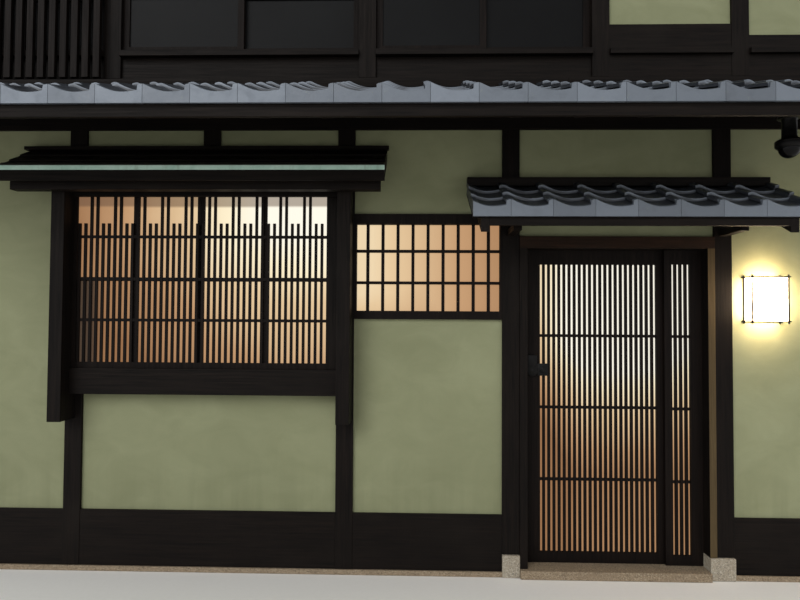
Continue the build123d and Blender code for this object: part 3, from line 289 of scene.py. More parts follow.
def granite(name, deep, base, pale):
    """Cut stone: pale and dark grains over a ground with earthy clouds."""
    s = Shade(name)
    cloud = s.noise(s.place(), 6.0, 5, 0.6)
    chips = s.noise(s.place(), 120.0, 4, 0.7)
    colour = s.ramp(s.part(X_AXIS, s.cells(210.0)),
                    ((0.08, deep), (0.24, base), (0.75, base), (0.92, pale)))
    colour = s.mix(s.remap(cloud, 0.4, 0.75, 0.0, 0.45), colour, paint(118, 102, 82))
    s.surface(Base_Color=colour, Roughness=s.remap(chips, 0.3, 0.7, 0.85, 0.6),
              Normal=s.bump(chips, 0.002, 0.6))
    return s.material


def rammed_earth(name):
    """A lumpy floor of trodden earth."""
    s = Shade(name)
    lumps = s.noise(s.place(), 18.0, 7, 0.65)
    clouds = s.noise(s.place(), 1.7, 4, 0.5)
    colour = s.mix(s.remap(lumps, 0.35, 0.7), paint(118, 106, 88), paint(150, 138, 116))
    colour = s.mix(s.remap(clouds, 0.4, 0.75, 0.0, 0.5), colour, paint(98, 88, 74))
    s.surface(Base_Color=colour, Roughness=0.93, Normal=s.bump(lumps, 0.005, 0.6))
    return s.material


# The copper turns from green to dark brown over this height, as painted shade on the lap above the
# fold
FOLD_SOFT = 0.004


def patina_and_sheen(name, fold):
    """Copper sheet gone green, its green made brighter as a painted sheen, with brown where rain
    runs and painted shade of dark brown on the lap above its fold.
    """
    s = Shade(name)
    bloom = s.noise(s.place(), 9.0, 6, 0.65, 0.7)
    runs = s.noise(s.place((26, 26, 1.5)), 1.0, 5, 0.6)
    grit = s.noise(s.place(), 240.0, 3, 0.7)
    # painted sheen: the green is set far brighter than the patina alone
    colour = s.mix(s.remap(bloom, 0.3, 0.7), paint(164, 200, 184), paint(196, 224, 210))
    colour = s.mix(s.remap(runs, 0.54, 0.74, 0.0, 0.5), colour, paint(118, 140, 120))
    # painted shade: the lap above the fold is dark brown
    colour = s.mix(s.remap(s.part(Z_AXIS), fold - FOLD_SOFT, fold), colour, paint(44, 40, 34))
    s.surface(Base_Color=colour, Metallic=0.1, Roughness=s.remap(bloom, 0.3, 0.7, 0.74, 0.5),
              Normal=s.bump(grit, 0.0007, 0.6))
    return s.material


def dark_metal(name, base, rough_low, rough_high):
    """Blackened metal with a little wear."""
    s = Shade(name)
    wear = s.noise(s.place(), 38.0, 5, 0.65)
    grit = s.noise(s.place(), 520.0, 2, 0.6)
    colour = s.mix(s.remap(wear, 0.45, 0.75, 0.0, 0.6), base, paint(30, 29, 28))
    s.surface(Base_Color=colour, Metallic=0.5,
              Roughness=s.remap(wear, 0.3, 0.7, rough_low, rough_high),
              Specular_IOR_Level=0.25, Normal=s.bump(grit, 0.0004, 0.5))
    return s.material


# Painted glow of lit rooms behind the panes, with no lamp there: X, Z, reach and strength of each
# spot, over a faint glow everywhere
GLOWS = ((-0.62, 2.24, 1.56, 1.16), (0.20, 2.00, 1.50, 0.57), (1.38, 1.86, 1.36, 1.92))
FAINT_GLOW = 0.12
GLOW_CLOUDS = 0.08
GLOW_COLOURS = ((0.0, paint(150, 108, 74)), (0.3, paint(190, 148, 108)),
                (0.6, paint(226, 196, 154)), (0.85, paint(252, 238, 204)),
                (1.0, paint(255, 250, 234)))
# The bay's right end, its mid rail, and how much less light comes through below it
BAY_END = -0.36
BAY_MIDDLE = 1.77
LOWER_LOSS = 0.09
# Where the bay's sashes meet, and how much less light comes through left of it
INNER_SASH_EDGE = -1.18
DOUBLE_LOSS = 0.10
# Painted shade on the glow at the bay's head and at its lower left: from clear to their full cover
HEAD_SHADE_CLEAR, HEAD_SHADE_FULL, HEAD_SHADE_COVER = 2.208, 2.222, 0.66
CORNER_SHADE_CLEAR, CORNER_SHADE_FULL, CORNER_SHADE_COVER = -1.785, -1.845, 0.9
# The middle window's right end, and the X and level that its glow fades from and to
MIDDLE_END = 0.68
FADE_FROM, FADE_TO = (-0.14, 0.68), (0.60, 0.17)
# The shade at the door's left end, from its deepest to its edge
SHADE_FROM, SHADE_TO, SHADE_DEEP = 0.88, 1.15, 0.50
# Panes above this belong to the upper storey, painted near-black as shade of its dark rooms
UPPER_LOW = 3.0


def glow_level(s, x, z, cloud):
    """How bright the painted glow of the ground storey's rooms is at a place on the panes."""
    glow = FAINT_GLOW
    for lamp_x, lamp_z, reach, gain in GLOWS:
        across = s.math("POWER", s.math("ABSOLUTE", s.math("SUBTRACT", x, lamp_x)), 2.0)
        above = s.math("POWER", s.math("ABSOLUTE", s.math("SUBTRACT", z, lamp_z)), 2.0)
        far = s.math("SQRT", s.math("ADD", across, above))
        glow = s.math("MAXIMUM", s.remap(far, 0.0, reach, gain, 0.0), glow)
    doubled = s.math("MULTIPLY", s.math("LESS_THAN", x, INNER_SASH_EDGE), -DOUBLE_LOSS)
    clouds = s.remap(cloud, 0.2, 0.8, -GLOW_CLOUDS, GLOW_CLOUDS)
    return s.math("ADD", s.math("ADD", glow, doubled), clouds)


def painted_glow_pane(name):
    """Frosted pane with a painted glow of lit rooms on the ground storey, and painted shade of
    dark rooms above.
    """
    s = Shade(name)
    x, z = s.part(X_AXIS), s.part(Z_AXIS)
    cloud = s.noise(s.place(), 2.1, 3, 0.5)
    frost = s.noise(s.place(), 340.0, 3, 0.7)
    bay = s.math("LESS_THAN", x, BAY_END)
    lower = s.math("MULTIPLY", bay, s.math("LESS_THAN", z, BAY_MIDDLE))
    level = s.math("ADD", glow_level(s, x, z, cloud), s.math("MULTIPLY", lower, -LOWER_LOSS))
    middle = s.math("MULTIPLY", s.math("GREATER_THAN", x, BAY_END),
                    s.math("LESS_THAN", x, MIDDLE_END))
    fading = s.remap(x, FADE_FROM[0], FADE_TO[0], FADE_FROM[1], FADE_TO[1])
    level = s.math("MINIMUM", level, s.math("ADD", fading, s.math("SUBTRACT", 1.0, middle)))
    shaded = s.math("MULTIPLY", s.math("GREATER_THAN", x, MIDDLE_END),
                    s.remap(x, SHADE_FROM, SHADE_TO, SHADE_DEEP, 0.0))
    # painted light: the glow's level becomes the emission colour of the panes
    colour = s.ramp(s.math("SUBTRACT", level, shaded), GLOW_COLOURS)
    # painted shade: the glow darkens under the bay's head
    head_shade = s.math("MULTIPLY", bay,
                     s.remap(z, HEAD_SHADE_CLEAR, HEAD_SHADE_FULL, 0.0, HEAD_SHADE_COVER))
    colour = s.mix(head_shade, colour, paint(104, 78, 62))
    # painted shade: the glow darkens at the bay's lower left
    corner_shade = s.math("MULTIPLY", lower,
                     s.remap(x, CORNER_SHADE_FULL, CORNER_SHADE_CLEAR, CORNER_SHADE_COVER, 0.0))
    colour = s.mix(corner_shade, colour, paint(50, 44, 40))
    upstairs = s.math("GREATER_THAN", z, UPPER_LOW)
    colour = s.mix(upstairs, colour, paint(0, 0, 0))
    # painted shade: upper panes are near-black as if the rooms behind were dark
    shaded_upper_pane = s.mix(s.remap(cloud, 0.3, 0.7), paint(5, 5, 6), paint(11, 12, 13))
    s.surface(Base_Color=s.mix(upstairs, paint(70, 60, 46), shaded_upper_pane),
              Roughness=s.remap(frost, 0.3, 0.7, 0.4, 0.6), Emission_Color=colour,
              Emission_Strength=1.0, Specular_IOR_Level=0.1, Normal=s.bump(frost, 0.0004, 0.4))
    return s.material


# The lantern's glass: its lamp's strength, and how far from its middle its colour turns
LAMP_STRENGTH = 44.0
LAMP_NEAR, LAMP_FAR = 0.02, 0.19


def lamp_glass(name):
    """Opal glass, brightest about its middle."""
    s = Shade(name)
    low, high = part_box("lantern_shade")
    node = s.add("ShaderNodeVectorMath", operation="DISTANCE")
    s.put(node.inputs[0], s.here)
    node.inputs[1].default_value = (low + high) / 2
    colour = s.ramp(s.remap(node.outputs["Value"], LAMP_NEAR, LAMP_FAR),
                    ((0.0, paint(255, 240, 214)), (1.0, paint(255, 214, 164))))
    ripple = s.noise(s.place(), 60.0, 3, 0.5)
    s.surface(Base_Color=paint(250, 240, 215), Roughness=s.remap(ripple, 0.3, 0.7, 0.3, 0.5),
              Emission_Color=colour, Emission_Strength=LAMP_STRENGTH,
              Normal=s.bump(ripple, 0.0006, 0.3))
    return s.material


# The door frame: its lintel's height, its right jamb's width, and how deep the jamb's face goes
LINTEL_HIGH, JAMB_WIDE, JAMB_FRONT = 0.072, 0.0415, 0.003
# Where the copper's fold lies above its foot
FOLD_RISE = 0.028
FRAME_LOW, FRAME_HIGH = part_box("door_frame")
LINTEL = (FRAME_HIGH.z - LINTEL_HIGH, paint(26, 18, 13), paint(62, 42, 30))
RIGHT_JAMB = (FRAME_HIGH.x - JAMB_WIDE, FRAME_LOW.y + JAMB_FRONT,
              paint(70, 58, 40), paint(98, 83, 58))

DARK, WARM, WORN = paint(11, 9, 8), paint(31, 24, 20), paint(26, 22, 19)
POST_WOOD = timber("post_timber", DARK, WARM, Z_AXIS, WORN)
BEAM_WOOD = timber("beam_timber", DARK, WARM, X_AXIS, WORN)
SLOPE_WOOD = timber("slope_timber", paint(12, 10, 9), paint(34, 27, 23), Y_AXIS)
JAMB_WOOD = timber("jamb_timber", DARK, WARM, Z_AXIS, WORN, LINTEL, RIGHT_JAMB)
LATTICE_WOOD = timber("lattice_timber", paint(11, 8, 7), paint(30, 22, 18), Z_AXIS)
FLOOR_WOOD = timber("floor_timber", paint(112, 82, 54), paint(160, 124, 86), Y_AXIS)
WALL = plaster("earth_plaster", paint(134, 137, 104), paint(112, 115, 85), paint(147, 150, 117))
TILE = roof_tile("smoked_tile", paint(40, 43, 48), paint(66, 70, 77), paint(100, 107, 116),
                 paint(128, 136, 147))
STONE = granite("cut_granite", paint(118, 110, 98), paint(156, 147, 130), paint(186, 178, 162))
STEP_STONE = granite("step_granite", paint(100, 86, 68), paint(136, 119, 96),
                     paint(164, 149, 126))
EARTH = rammed_earth("rammed_earth")
COPPER = patina_and_sheen("aged_copper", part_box("hood_edging")[0].z + FOLD_RISE)
METAL = dark_metal("black_metal", paint(12, 11, 11), 0.28, 0.5)
DOME_GLASS = dark_metal("dome_black", paint(9, 9, 11), 0.06, 0.16)
PANE = painted_glow_pane("frosted_pane")
OPAL = lamp_glass("opal_glass")


# Mesh helpers

MID_TONE = 0.5
# No tile or board starts this near the end of its row
SLIVER = 0.01
# Dressing of a node: points this near and faces this flat become one, and edges this sharp
# are eased
MERGE = 2e-5
FLAT, SHARP = math.radians(1), math.radians(25)


def add_object(name, mesh, material, body):
    """The object of a piece, on its body and with its material."""
    piece = bpy.data.objects.new(name, mesh)
    bpy.context.scene.collection.objects.link(piece)
    mesh.materials.clear()
    mesh.materials.append(material)
    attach(piece, body)
    return piece


def dressed(node, material, width, body="house"):
    """A copy of a node with its hard edges eased, in place of the node."""
    work = bmesh.new()
    work.from_mesh(nodes[node].data)
    bmesh.ops.remove_doubles(work, verts=work.verts, dist=MERGE)
    bmesh.ops.dissolve_limit(work, angle_limit=FLAT, verts=work.verts, edges=work.edges)
    hard = [e for e in work.edges if len(e.link_faces) == 2 and e.calc_face_angle(0) > SHARP]
    bmesh.ops.bevel(work, geom=hard, offset=width, segments=2, profile=0.6, affect="EDGES",
                    clamp_overlap=True)
    mesh = bpy.data.meshes.new(f"{node}_dressed")
    work.to_mesh(mesh)
    work.free()
    piece = add_object(f"{node}_dressed", mesh, material, body)
    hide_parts(node)


class Build:
    """Points, faces and tones of one piece, gathered block by block."""

    def __init__(self):
        self.points = []
        self.faces = []
        self.tones = []

    def sheet(self, rows, tone=MID_TONE, tones=None):
        """A closed tube of rows of points: each row is a ring, and both ends are capped.

        It has one tone, or one for each point.
        """
        base = len(self.points)
        count = len(rows[0])
        last = base + (len(rows) - 1) * count
        for row in range(base, last, count):
            for i in range(count):
                j = (i + 1) % count
                self.faces.append((row + i, row + j, row + count + j, row + count + i))
        self.faces.append(tuple(range(base, base + count)))
        self.faces.append(tuple(last + i for i in reversed(range(count))))
        for row in rows:
            self.points += row
        self.tones += tones or [tone] * (count * len(rows))

    def block(self, low, high, ease=0.0, tone=MID_TONE):
        """A box, its four long edges in X eased when asked."""
        (x0, y0, z0), (x1, y1, z1) = low, high
        if ease:
            ring = [(y0 + ease, z0), (y1 - ease, z0), (y1, z0 + ease), (y1, z1 - ease),
                    (y1 - ease, z1), (y0 + ease, z1), (y0, z1 - ease), (y0, z0 + ease)]
        else:
            ring = [(y0, z0), (y1, z0), (y1, z1), (y0, z1)]
        self.sheet([[(x, y, z) for y, z in ring] for x in (x0, x1)], tone)

    def piece(self, name, material, slot, body="house", smooth=None):
        """The gathered piece, shaded smooth over angles up to the one given in degrees."""
        mesh = bpy.data.meshes.new(name)
        mesh.from_pydata(self.points, [], self.faces)
        mesh.attributes.new("tone", "FLOAT", "POINT").data.foreach_set("value", self.tones)
        work = bmesh.new()
        work.from_mesh(mesh)
        bmesh.ops.recalc_face_normals(work, faces=work.faces)
        work.to_mesh(mesh)
        work.free()
        if smooth:
            mesh.shade_smooth()
            mesh.set_sharp_from_angle(angle=math.radians(smooth))
        return add_object(name, mesh, material, body)


# Roof tiles

# A tile's wave over one pitch from its seam: place in shares of the pitch, height in shares of
# the wave's. The first three points are the raised edge that covers the tile to the left
WAVE = ((-0.115, 0.84), (-0.075, 0.93), (-0.03, 0.99), (0.015, 0.98), (0.06, 0.87),
        (0.11, 0.72), (0.17, 0.55), (0.24, 0.38), (0.31, 0.23), (0.38, 0.12), (0.45, 0.04),
        (0.52, 0.0), (0.60, 0.0), (0.69, 0.03), (0.78, 0.09), (0.85, 0.17), (0.885, 0.22),
        (0.94, 0.30))
WAVE_HIGH = 0.038
TILE_THICK = 0.016
TILE_SEAT = 0.054
TILE_PITCH = 0.226
TILE_SMOOTH = 32
# A tile lies this far off its place at most, and falls this many thicknesses over a course
SLACK = 0.0012
DIP = 1.08
# A tile's nose, how much brighter it is as a painted highlight, and the highest tone behind it,
# kept low as painted shade on the tile's back; then the tones of verge and ridge tiles
NOSE_LONG, NOSE_HIGHLIGHT_TONE, BACK_TONE = 0.008, 0.75, 0.30
TONES = (0.15, 0.5)
# Columns and eave fronts narrower than these shares of the pitch are left out
THIN_COLUMN, THIN_LIP = 0.06, 0.05
# Eave fronts: thickness, foot above the slope's underside, half the joint, where the raised
# edge of the next tile starts and how its step leans, and the tones, kept high as painted light
LIP_THICK, LIP_FOOT, LIP_JOINT = 0.018, 0.001, 0.0009
STEP_AT, STEP_LEAN = 0.885, 0.012
LIT_LIP_TONE, LIP_SPREAD = 0.62, 0.28
# The first course starts this far in from the eave, and the last one needs this much room
FIRST_BACK = 0.0165
LAST_COURSE = 0.03
# Verge tiles: outline inwards from the edge and up from the head, the head's share of the
# wave's height, and the joint
VERGE_HEAD = ((0.0, -0.012), (0.010, 0.0), (0.024, 0.0), (0.030, -0.010))
VERGE_RISE, VERGE_JOINT = 0.62, 0.001
# Weather board: outline out from the wall and up from its head, its rise over the tiles'
# seat, the length of one board and half the joint
BOARD_OUTLINE = ((0.0, 0.0), (0.012, 0.0), (0.075, -0.008), (0.075, -0.020), (0.070, -0.058),
                 (0.0, -0.058))
BOARD_RISE, BOARD_LONG, BOARD_JOINT = 0.030, 1.8, 0.0008


def wave_at(u):
    """The wave's height share at a place on the pitch."""
    for (u0, h0), (u1, h1) in zip(WAVE, WAVE[1:]):
        if u0 <= u <= u1:
            return h0 + (h1 - h0) * (u - u0) / (u1 - u0)
    return WAVE[0][1] if u < WAVE[0][0] else WAVE[-1][1]


def clipped(low, high):
    """The wave's points between two places on the pitch."""
    inside = [(u, h) for u, h in WAVE if low < u < high]
    return [(low, wave_at(low)), *inside, (high, wave_at(high))]


class Slope:
    """One slope of a roof.

    It has a side, the depths of its eave and top, the height of its underside at the eave, a
    pitch, and its ends: x0 and x1 are in X, left and right are as seen from its own side.
    """

    def __init__(self, side, out0, out1, foot, pitch, x0, x1):
        self.side, self.out0, self.out1 = side, out0, out1
        self.foot, self.pitch = foot, pitch
        self.left, self.right = (x0, x1) if side == FRONT else (-x1, -x0)

    def under(self, out):
        """Height of the slope's underside."""
        return self.foot + self.pitch * (self.out0 - out)

    def point(self, x, out, rise):
        """A point over the slope's underside; x runs to the right as seen from its own side."""
        return (-self.side * x, self.side * (FACE + out), self.under(out) + rise)

    def wave_point(self, at, u, h, out, rise=0.0):
        """A point of a tile's wave in the column with this seam."""
        return self.point(at + u * TILE_PITCH, out, TILE_SEAT + h * WAVE_HIGH + rise)


def tile_columns(slope, seam):
    """Seams of the columns that a slope needs, with each column's clipped wave range."""
    first = math.floor((slope.left - seam) / TILE_PITCH)
    last = math.ceil((slope.right - seam) / TILE_PITCH)
    columns = []
    for k in range(first, last + 1):
        at = seam + k * TILE_PITCH
        u0 = max(WAVE[0][0], (slope.left - at) / TILE_PITCH)
        u1 = min(WAVE[-1][0], (slope.right - at) / TILE_PITCH)
        if u1 - u0 > THIN_COLUMN:
            columns.append((at, u0, u1))
    return columns


def tile_body(build, slope, column, front, back, fall):
    """One curved tile, a shell whose back dips under the next course."""
    at, u0, u1 = column
    # painted shade: a tile's back gets only low tones
    tone = rng.uniform(0.0, BACK_TONE)
    lift = rng.uniform(-SLACK, 0.0)
    slip = rng.uniform(-SLACK, SLACK)
    bend = front - NOSE_LONG
    rows = []
    for out, drop in ((front + slip, 0.0), (bend, fall * (front - bend) / (front - back)),
                      (back, fall)):
        top = [slope.wave_point(at, u, h, out, lift - drop) for u, h in clipped(u0, u1)]
        low = [(x, y, z - TILE_THICK) for x, y, z in reversed(top)]
        rows.append(top + low)
    half = len(rows[0]) // 2
    rest = half * (2 * len(rows) - 1)
    # painted highlight on the nose row, over the tile's own tone
    build.sheet(rows, tones=[tone + NOSE_HIGHLIGHT_TONE] * half + [tone] * rest)


def eave_lip(build, slope, at):
    """The flat front of an eave tile: straight foot, waved head, a raised block at its right."""
    joint = LIP_JOINT / TILE_PITCH
    u0 = max(0.0, (slope.left - at) / TILE_PITCH) + joint
    u1 = min(1.0, (slope.right - at) / TILE_PITCH) - joint
    if u1 - u0 < THIN_LIP:
        return
    heads = clipped(u0, min(u1, STEP_AT))
    if u1 > STEP_AT:
        heads.append((STEP_AT + STEP_LEAN, WAVE[0][1]))
        heads += [(u + 1, h) for u, h in WAVE[1:3] if u + 1 < u1]
        heads.append((u1, wave_at(u1 - 1)))
    rows = []
    for out in (slope.out0, slope.out0 - LIP_THICK):
        ring = [slope.wave_point(at, u, h, out) for u, h in heads]
        foot = [(x, y, slope.foot + LIP_FOOT) for x, y, z in (ring[-1], ring[0])]
        rows.append(ring + foot)
    # painted light: an eave front's tone is set high as a lit face, with a random spread
    build.sheet(rows, LIT_LIP_TONE + LIP_SPREAD * rng.random())


def verge_tile(build, slope, edge, inward, front, back):
    """An edge tile: a flat cheek that closes the course at the verge, with a rolled head."""
    far = VERGE_HEAD[-1][0]
    rows = []
    for out, sink in ((front - VERGE_JOINT, 0.0), (back + VERGE_JOINT, TILE_THICK)):
        top = TILE_SEAT + WAVE_HIGH * VERGE_RISE - sink
        ring = [(0.0, LIP_FOOT), *((wide, top + up) for wide, up in VERGE_HEAD),
                (far, LIP_FOOT)]
        rows.append([slope.point(edge + inward * wide, out, rise) for wide, rise in ring])
    build.sheet(rows, rng.uniform(*TONES))


def tiled(name, slope, seam, course, cover):
    """All tiles of one slope.

    The course is how much of a tile shows, and the cover how far it runs on under the next.
    """
    build = Build()
    columns = tile_columns(slope, seam)
    fronts = []
    out = slope.out0
    while out > slope.out1 + LAST_COURSE:
        fronts.append(out)
        out -= course
    for row, front in enumerate(fronts):
        start = front - FIRST_BACK if row == 0 else front
        back = max(slope.out1, front - course - cover)
        fall = TILE_THICK * (front - back) / course * DIP
        for column in columns:
            tile_body(build, slope, column, start, back, fall)
    for at, u0, u1 in columns:
        eave_lip(build, slope, at)
    for edge, inward in ((slope.left, 1), (slope.right, -1)):
        for front in fronts:
            verge_tile(build, slope, edge, inward, front, max(slope.out1, front - course))
    return build.piece(name, TILE, "roof_tile", smooth=TILE_SMOOTH)


def weather_board(name, slope):
    """A board along the wall that sheds rain over the heads of the last tiles."""
    count = max(1, round((slope.right - slope.left) / BOARD_LONG))
    step = (slope.right - slope.left) / count
    build = Build()
    for i in range(count):
        rows = []
        for x in (slope.left + i * step + BOARD_JOINT, slope.left + (i + 1) * step - BOARD_JOINT):
            rows.append([slope.point(x, out, TILE_SEAT + BOARD_RISE + up
                                     + slope.under(0.0) - slope.under(out))
                         for out, up in BOARD_OUTLINE])
        build.sheet(rows, rng.random())
    build.piece(name, BEAM_WOOD, "roof_timber")


# Roofs: depth of the eave, height of the underside there, pitch, the tiles' seam and course
ROOF_EDGE = 3.0975
SEAM = -0.037
LOWER_OUT, LOWER_FOOT, LOWER_PITCH, LOWER_COURSE = 0.909, 2.547, 0.4, 0.218
PORCH_OUT, PORCH_FOOT, PORCH_PITCH, PORCH_COURSE = 0.437, 2.092, 0.5, 0.139
PORCH_LEFT, PORCH_RIGHT, PORCH_SEAM = 0.431, 2.215, 0.635
MAIN_OUT, MAIN_FOOT, MAIN_PITCH, MAIN_COURSE = 0.880, 4.754, 0.45, 0.2145
# The main tiles stop this far from the ridge's middle
RIDGE_REACH = 0.06
# How far tiles run on under the next course
LONG_COVER, PORCH_COVER = 0.045, 0.03


def lower_roofs():
    """The long eaves over the ground storey, each with its weather board."""
    for side, name in ((FRONT, "front"), (REAR, "rear")):
        slope = Slope(side, LOWER_OUT, 0.0, LOWER_FOOT, LOWER_PITCH, -ROOF_EDGE, ROOF_EDGE)
        piece = tiled(f"{name}_eave_tiles", slope, SEAM, LOWER_COURSE, LONG_COVER)
        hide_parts("lower_tiles")
        weather_board(f"{name}_eave_weather_board", slope)


def porch_roof():
    """The small roof over the door, with its weather board."""
    slope = Slope(FRONT, PORCH_OUT, 0.0, PORCH_FOOT, PORCH_PITCH, PORCH_LEFT, PORCH_RIGHT)
    piece = tiled("porch_roof_tiles", slope, PORCH_SEAM, PORCH_COURSE, PORCH_COVER)
    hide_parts("porch_tiles")
    weather_board("porch_weather_board", slope)


def main_roofs():
    """Both slopes of the main roof."""
    for side, name in ((FRONT, "front"), (REAR, "rear")):
        slope = Slope(side, MAIN_OUT, RIDGE_REACH - FACE, MAIN_FOOT, MAIN_PITCH,
                      -ROOF_EDGE, ROOF_EDGE)
        piece = tiled(f"{name}_main_roof_tiles", slope, SEAM, MAIN_COURSE, LONG_COVER)
        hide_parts(f"{name}_main_tiles")


# The ridge: its body's foot above the node's, the caps' foot below its head, and the first
# course above the body's foot. Each course steps in by a share of the half width, over a gap
RIDGE_FOOT, RIDGE_CAP, FIRST_COURSE = 0.02, 0.062, 0.055
COURSES, COURSE_IN, COURSE_GAP, COURSE_EASE = 6, 0.035, 0.004, 0.006
# Tiles of the courses: length, how much shorter every second course starts, half the joint
RIDGE_TILE, BOND, RIDGE_JOINT = 0.27, 0.13, 0.0008
# The mortar inside, and the bed under the ridge and under its end tiles: half widths as shares
# or past the ridge, rises over the tiles, and the bed's depth
CORE_WIDE, CORE_IN, MORTAR_TONE = 0.86, 0.004, 0.1
BED_WIDE, BED_RISE, BED_DEEP = 0.9, 0.022, 0.085
END_PAST, END_SINK = 0.012, 0.0004
# Cap tiles: length, half the joint, the collar and the step behind it, radii of collar, body
# and tail, and how the half round sits
CAP_TILE, CAP_JOINT, COLLAR_LONG, COLLAR_STEP = 0.24, 0.0006, 0.034, 0.002
COLLAR_ROUND, CAP_ROUND, CAP_TAIL = 0.093, 0.084, 0.082
CAP_SINK, CAP_FLAT, CAP_STEPS = 0.0265, 0.94, 12


def ridge_mortar(build, low, high, half, body_low, cap_low):
    """The core of the ridge, and the bed on which it and its end tiles lie."""
    build.block((low.x + CORE_IN, -half * CORE_WIDE, body_low),
                (high.x - CORE_IN, half * CORE_WIDE, cap_low - CORE_IN), tone=MORTAR_TONE)
    apex = low.z + MAIN_PITCH * half
    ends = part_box("ridge_end_tiles")
    for x0, x1, wide, rise in (
            (low.x, high.x, half * BED_WIDE, BED_RISE),
            (ends[0].x + CORE_IN, low.x, half + END_PAST, -END_SINK),
            (high.x, ends[1].x - CORE_IN, half + END_PAST, -END_SINK)):
        side = apex - MAIN_PITCH * wide
        ring = [(-wide, side + rise), (0.0, apex + rise), (wide, side + rise),
                (wide, side - BED_DEEP), (0.0, apex - BED_DEEP), (-wide, side - BED_DEEP)]
        build.sheet([[(x, y, z) for y, z in ring] for x in (x0, x1)], MORTAR_TONE)


def ridge_courses(build, low, high, half, body_low, cap_low):
    """Courses of flat tiles with open joints, in bond and stepping in."""
    rise = (cap_low - body_low - FIRST_COURSE) / COURSES
    for c in range(COURSES):
        foot = body_low + FIRST_COURSE + c * rise
        reach = half * (1.0 - COURSE_IN * c)
        x = low.x
        first = RIDGE_TILE - BOND * (c % 2)
        while x < high.x - SLIVER:
            end = min(high.x, x + (first if x == low.x else RIDGE_TILE))
            build.block((x + RIDGE_JOINT, -reach, foot + COURSE_GAP),
                        (end - RIDGE_JOINT, reach, foot + rise), COURSE_EASE,
                        rng.uniform(*TONES))
            x = end


def ridge_caps(build, low, high, cap_low):
    """Half round tiles along the top, each with a collar over the one before."""
    count = round((high.x - low.x) / CAP_TILE)
    step = (high.x - low.x) / count
    outline = ((CAP_JOINT, COLLAR_ROUND), (COLLAR_LONG, COLLAR_ROUND),
               (COLLAR_LONG + COLLAR_STEP, CAP_ROUND), (step - CAP_JOINT, CAP_TAIL))
    angles = [math.pi * a / CAP_STEPS for a in range(CAP_STEPS + 1)]
    for i in range(count):
        x0 = low.x + i * step
        tone = rng.uniform(*TONES)
        build.sheet([[(x0 + along, radius * math.cos(angle),
                       cap_low - CAP_SINK + radius * CAP_FLAT * math.sin(angle))
                      for angle in angles] for along, radius in outline], tone)


def main_ridge():
    """The whole ridge of the main roof but its end tiles."""
    low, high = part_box("main_ridge")
    half = (high.y - low.y) / 2
    body_low, cap_low = low.z + RIDGE_FOOT, high.z - RIDGE_CAP
    build = Build()
    ridge_mortar(build, low, high, half, body_low, cap_low)
    ridge_courses(build, low, high, half, body_low, cap_low)
    ridge_caps(build, low, high, cap_low)
    piece = build.piece("main_ridge_courses", TILE, "roof_tile", smooth=TILE_SMOOTH)
    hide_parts("main_ridge")


# The hood's boards

# The boards' thickness, their courses, and how much thinner a board is at its back
HOOD_BOARD = 0.026
PLANK_COURSES = 3
PLANK_STEP = 0.008
# Planks: full length, the least share of it, and the shortest rest that stays a plank
PLANK_LONG, PLANK_SHARE, PLANK_SHORT = 1.8, 0.8, 0.4
PLANK_JOINT, PLANK_EASE, PLANK_CORNER = 0.0006, 0.002, 0.0003
# The cap board: past the boards' ends, its depths, its foot below their head, its thickness
CAP_PAST = 0.012
CAP_FRONT, CAP_BACK = 0.042, 0.001
CAP_DOWN, CAP_THICK, CAP_EASE = 0.010, 0.022, 0.003


def hood_planks():
    """The hood's weather boards, each course a little over the next below it, and a cap board."""
    low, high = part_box("hood_boards")
    out = -low.y - FACE
    slope = Slope(FRONT, out, 0.0, low.z, (high.z - low.z - HOOD_BOARD) / out, low.x, high.x)
    build = Build()
    wide = out / PLANK_COURSES
    for c in range(PLANK_COURSES):
        front = out - c * wide
        back = front - wide
        outline = ((front, 0.0), (front, HOOD_BOARD - PLANK_EASE),
                   (front - PLANK_EASE, HOOD_BOARD - PLANK_CORNER),
                   (back, HOOD_BOARD - PLANK_STEP), (back, 0.0))
        x = low.x
        while x < high.x - SLIVER:
            end = min(high.x, x + PLANK_LONG * rng.uniform(PLANK_SHARE, 1.0))
            if high.x - end < PLANK_SHORT:
                end = high.x
            build.sheet([[slope.point(at, depth, rise) for depth, rise in outline]
                         for at in (x + PLANK_JOINT, end - PLANK_JOINT)])
            x = end
    boards = build.piece("hood_planks", BEAM_WOOD, "roof_timber")
    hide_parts("hood_boards")
    cap = Build()
    foot = high.z - CAP_DOWN
    wall = low.y + out
    cap.block((low.x - CAP_PAST, wall - CAP_FRONT, foot),
              (high.x + CAP_PAST, wall - CAP_BACK, foot + CAP_THICK), CAP_EASE)
    cap.piece("hood_cap_board", BEAM_WOOD, "roof_timber")


# The dome under the eave

GLASS_SHARE = 0.79
BOWL_FLAT, BOWL_STEPS = math.radians(3), 20
TURN_STEPS, TURN_SMOOTH = 64, 35
# The bezel's foot over the glass's widest ring, and the glass's head over that foot
BEZEL_UP, GLASS_UP = 0.001, 0.006
# Outlines of radius and height: the rim's past the glass's radius, the bezel's past the dome's,
# and the neck's own, all three from the bezel's foot; the base plate's own, from the head
RIM = ((0.0006, 0.0), (0.004, -0.004))
BEZEL = ((-0.008, -0.002), (-0.002, 0.004), (0.0, 0.010), (0.0, 0.022), (-0.0015, 0.024),
         (-0.0015, 0.026), (0.0, 0.028), (-0.001, 0.034), (-0.008, 0.040))
NECK = ((0.044, 0.044), (0.038, 0.050), (0.036, 0.060))
BASE_PLATE = ((0.036, -0.022), (0.040, -0.014), (0.053, -0.012), (0.055, -0.009),
              (0.055, -0.0005))


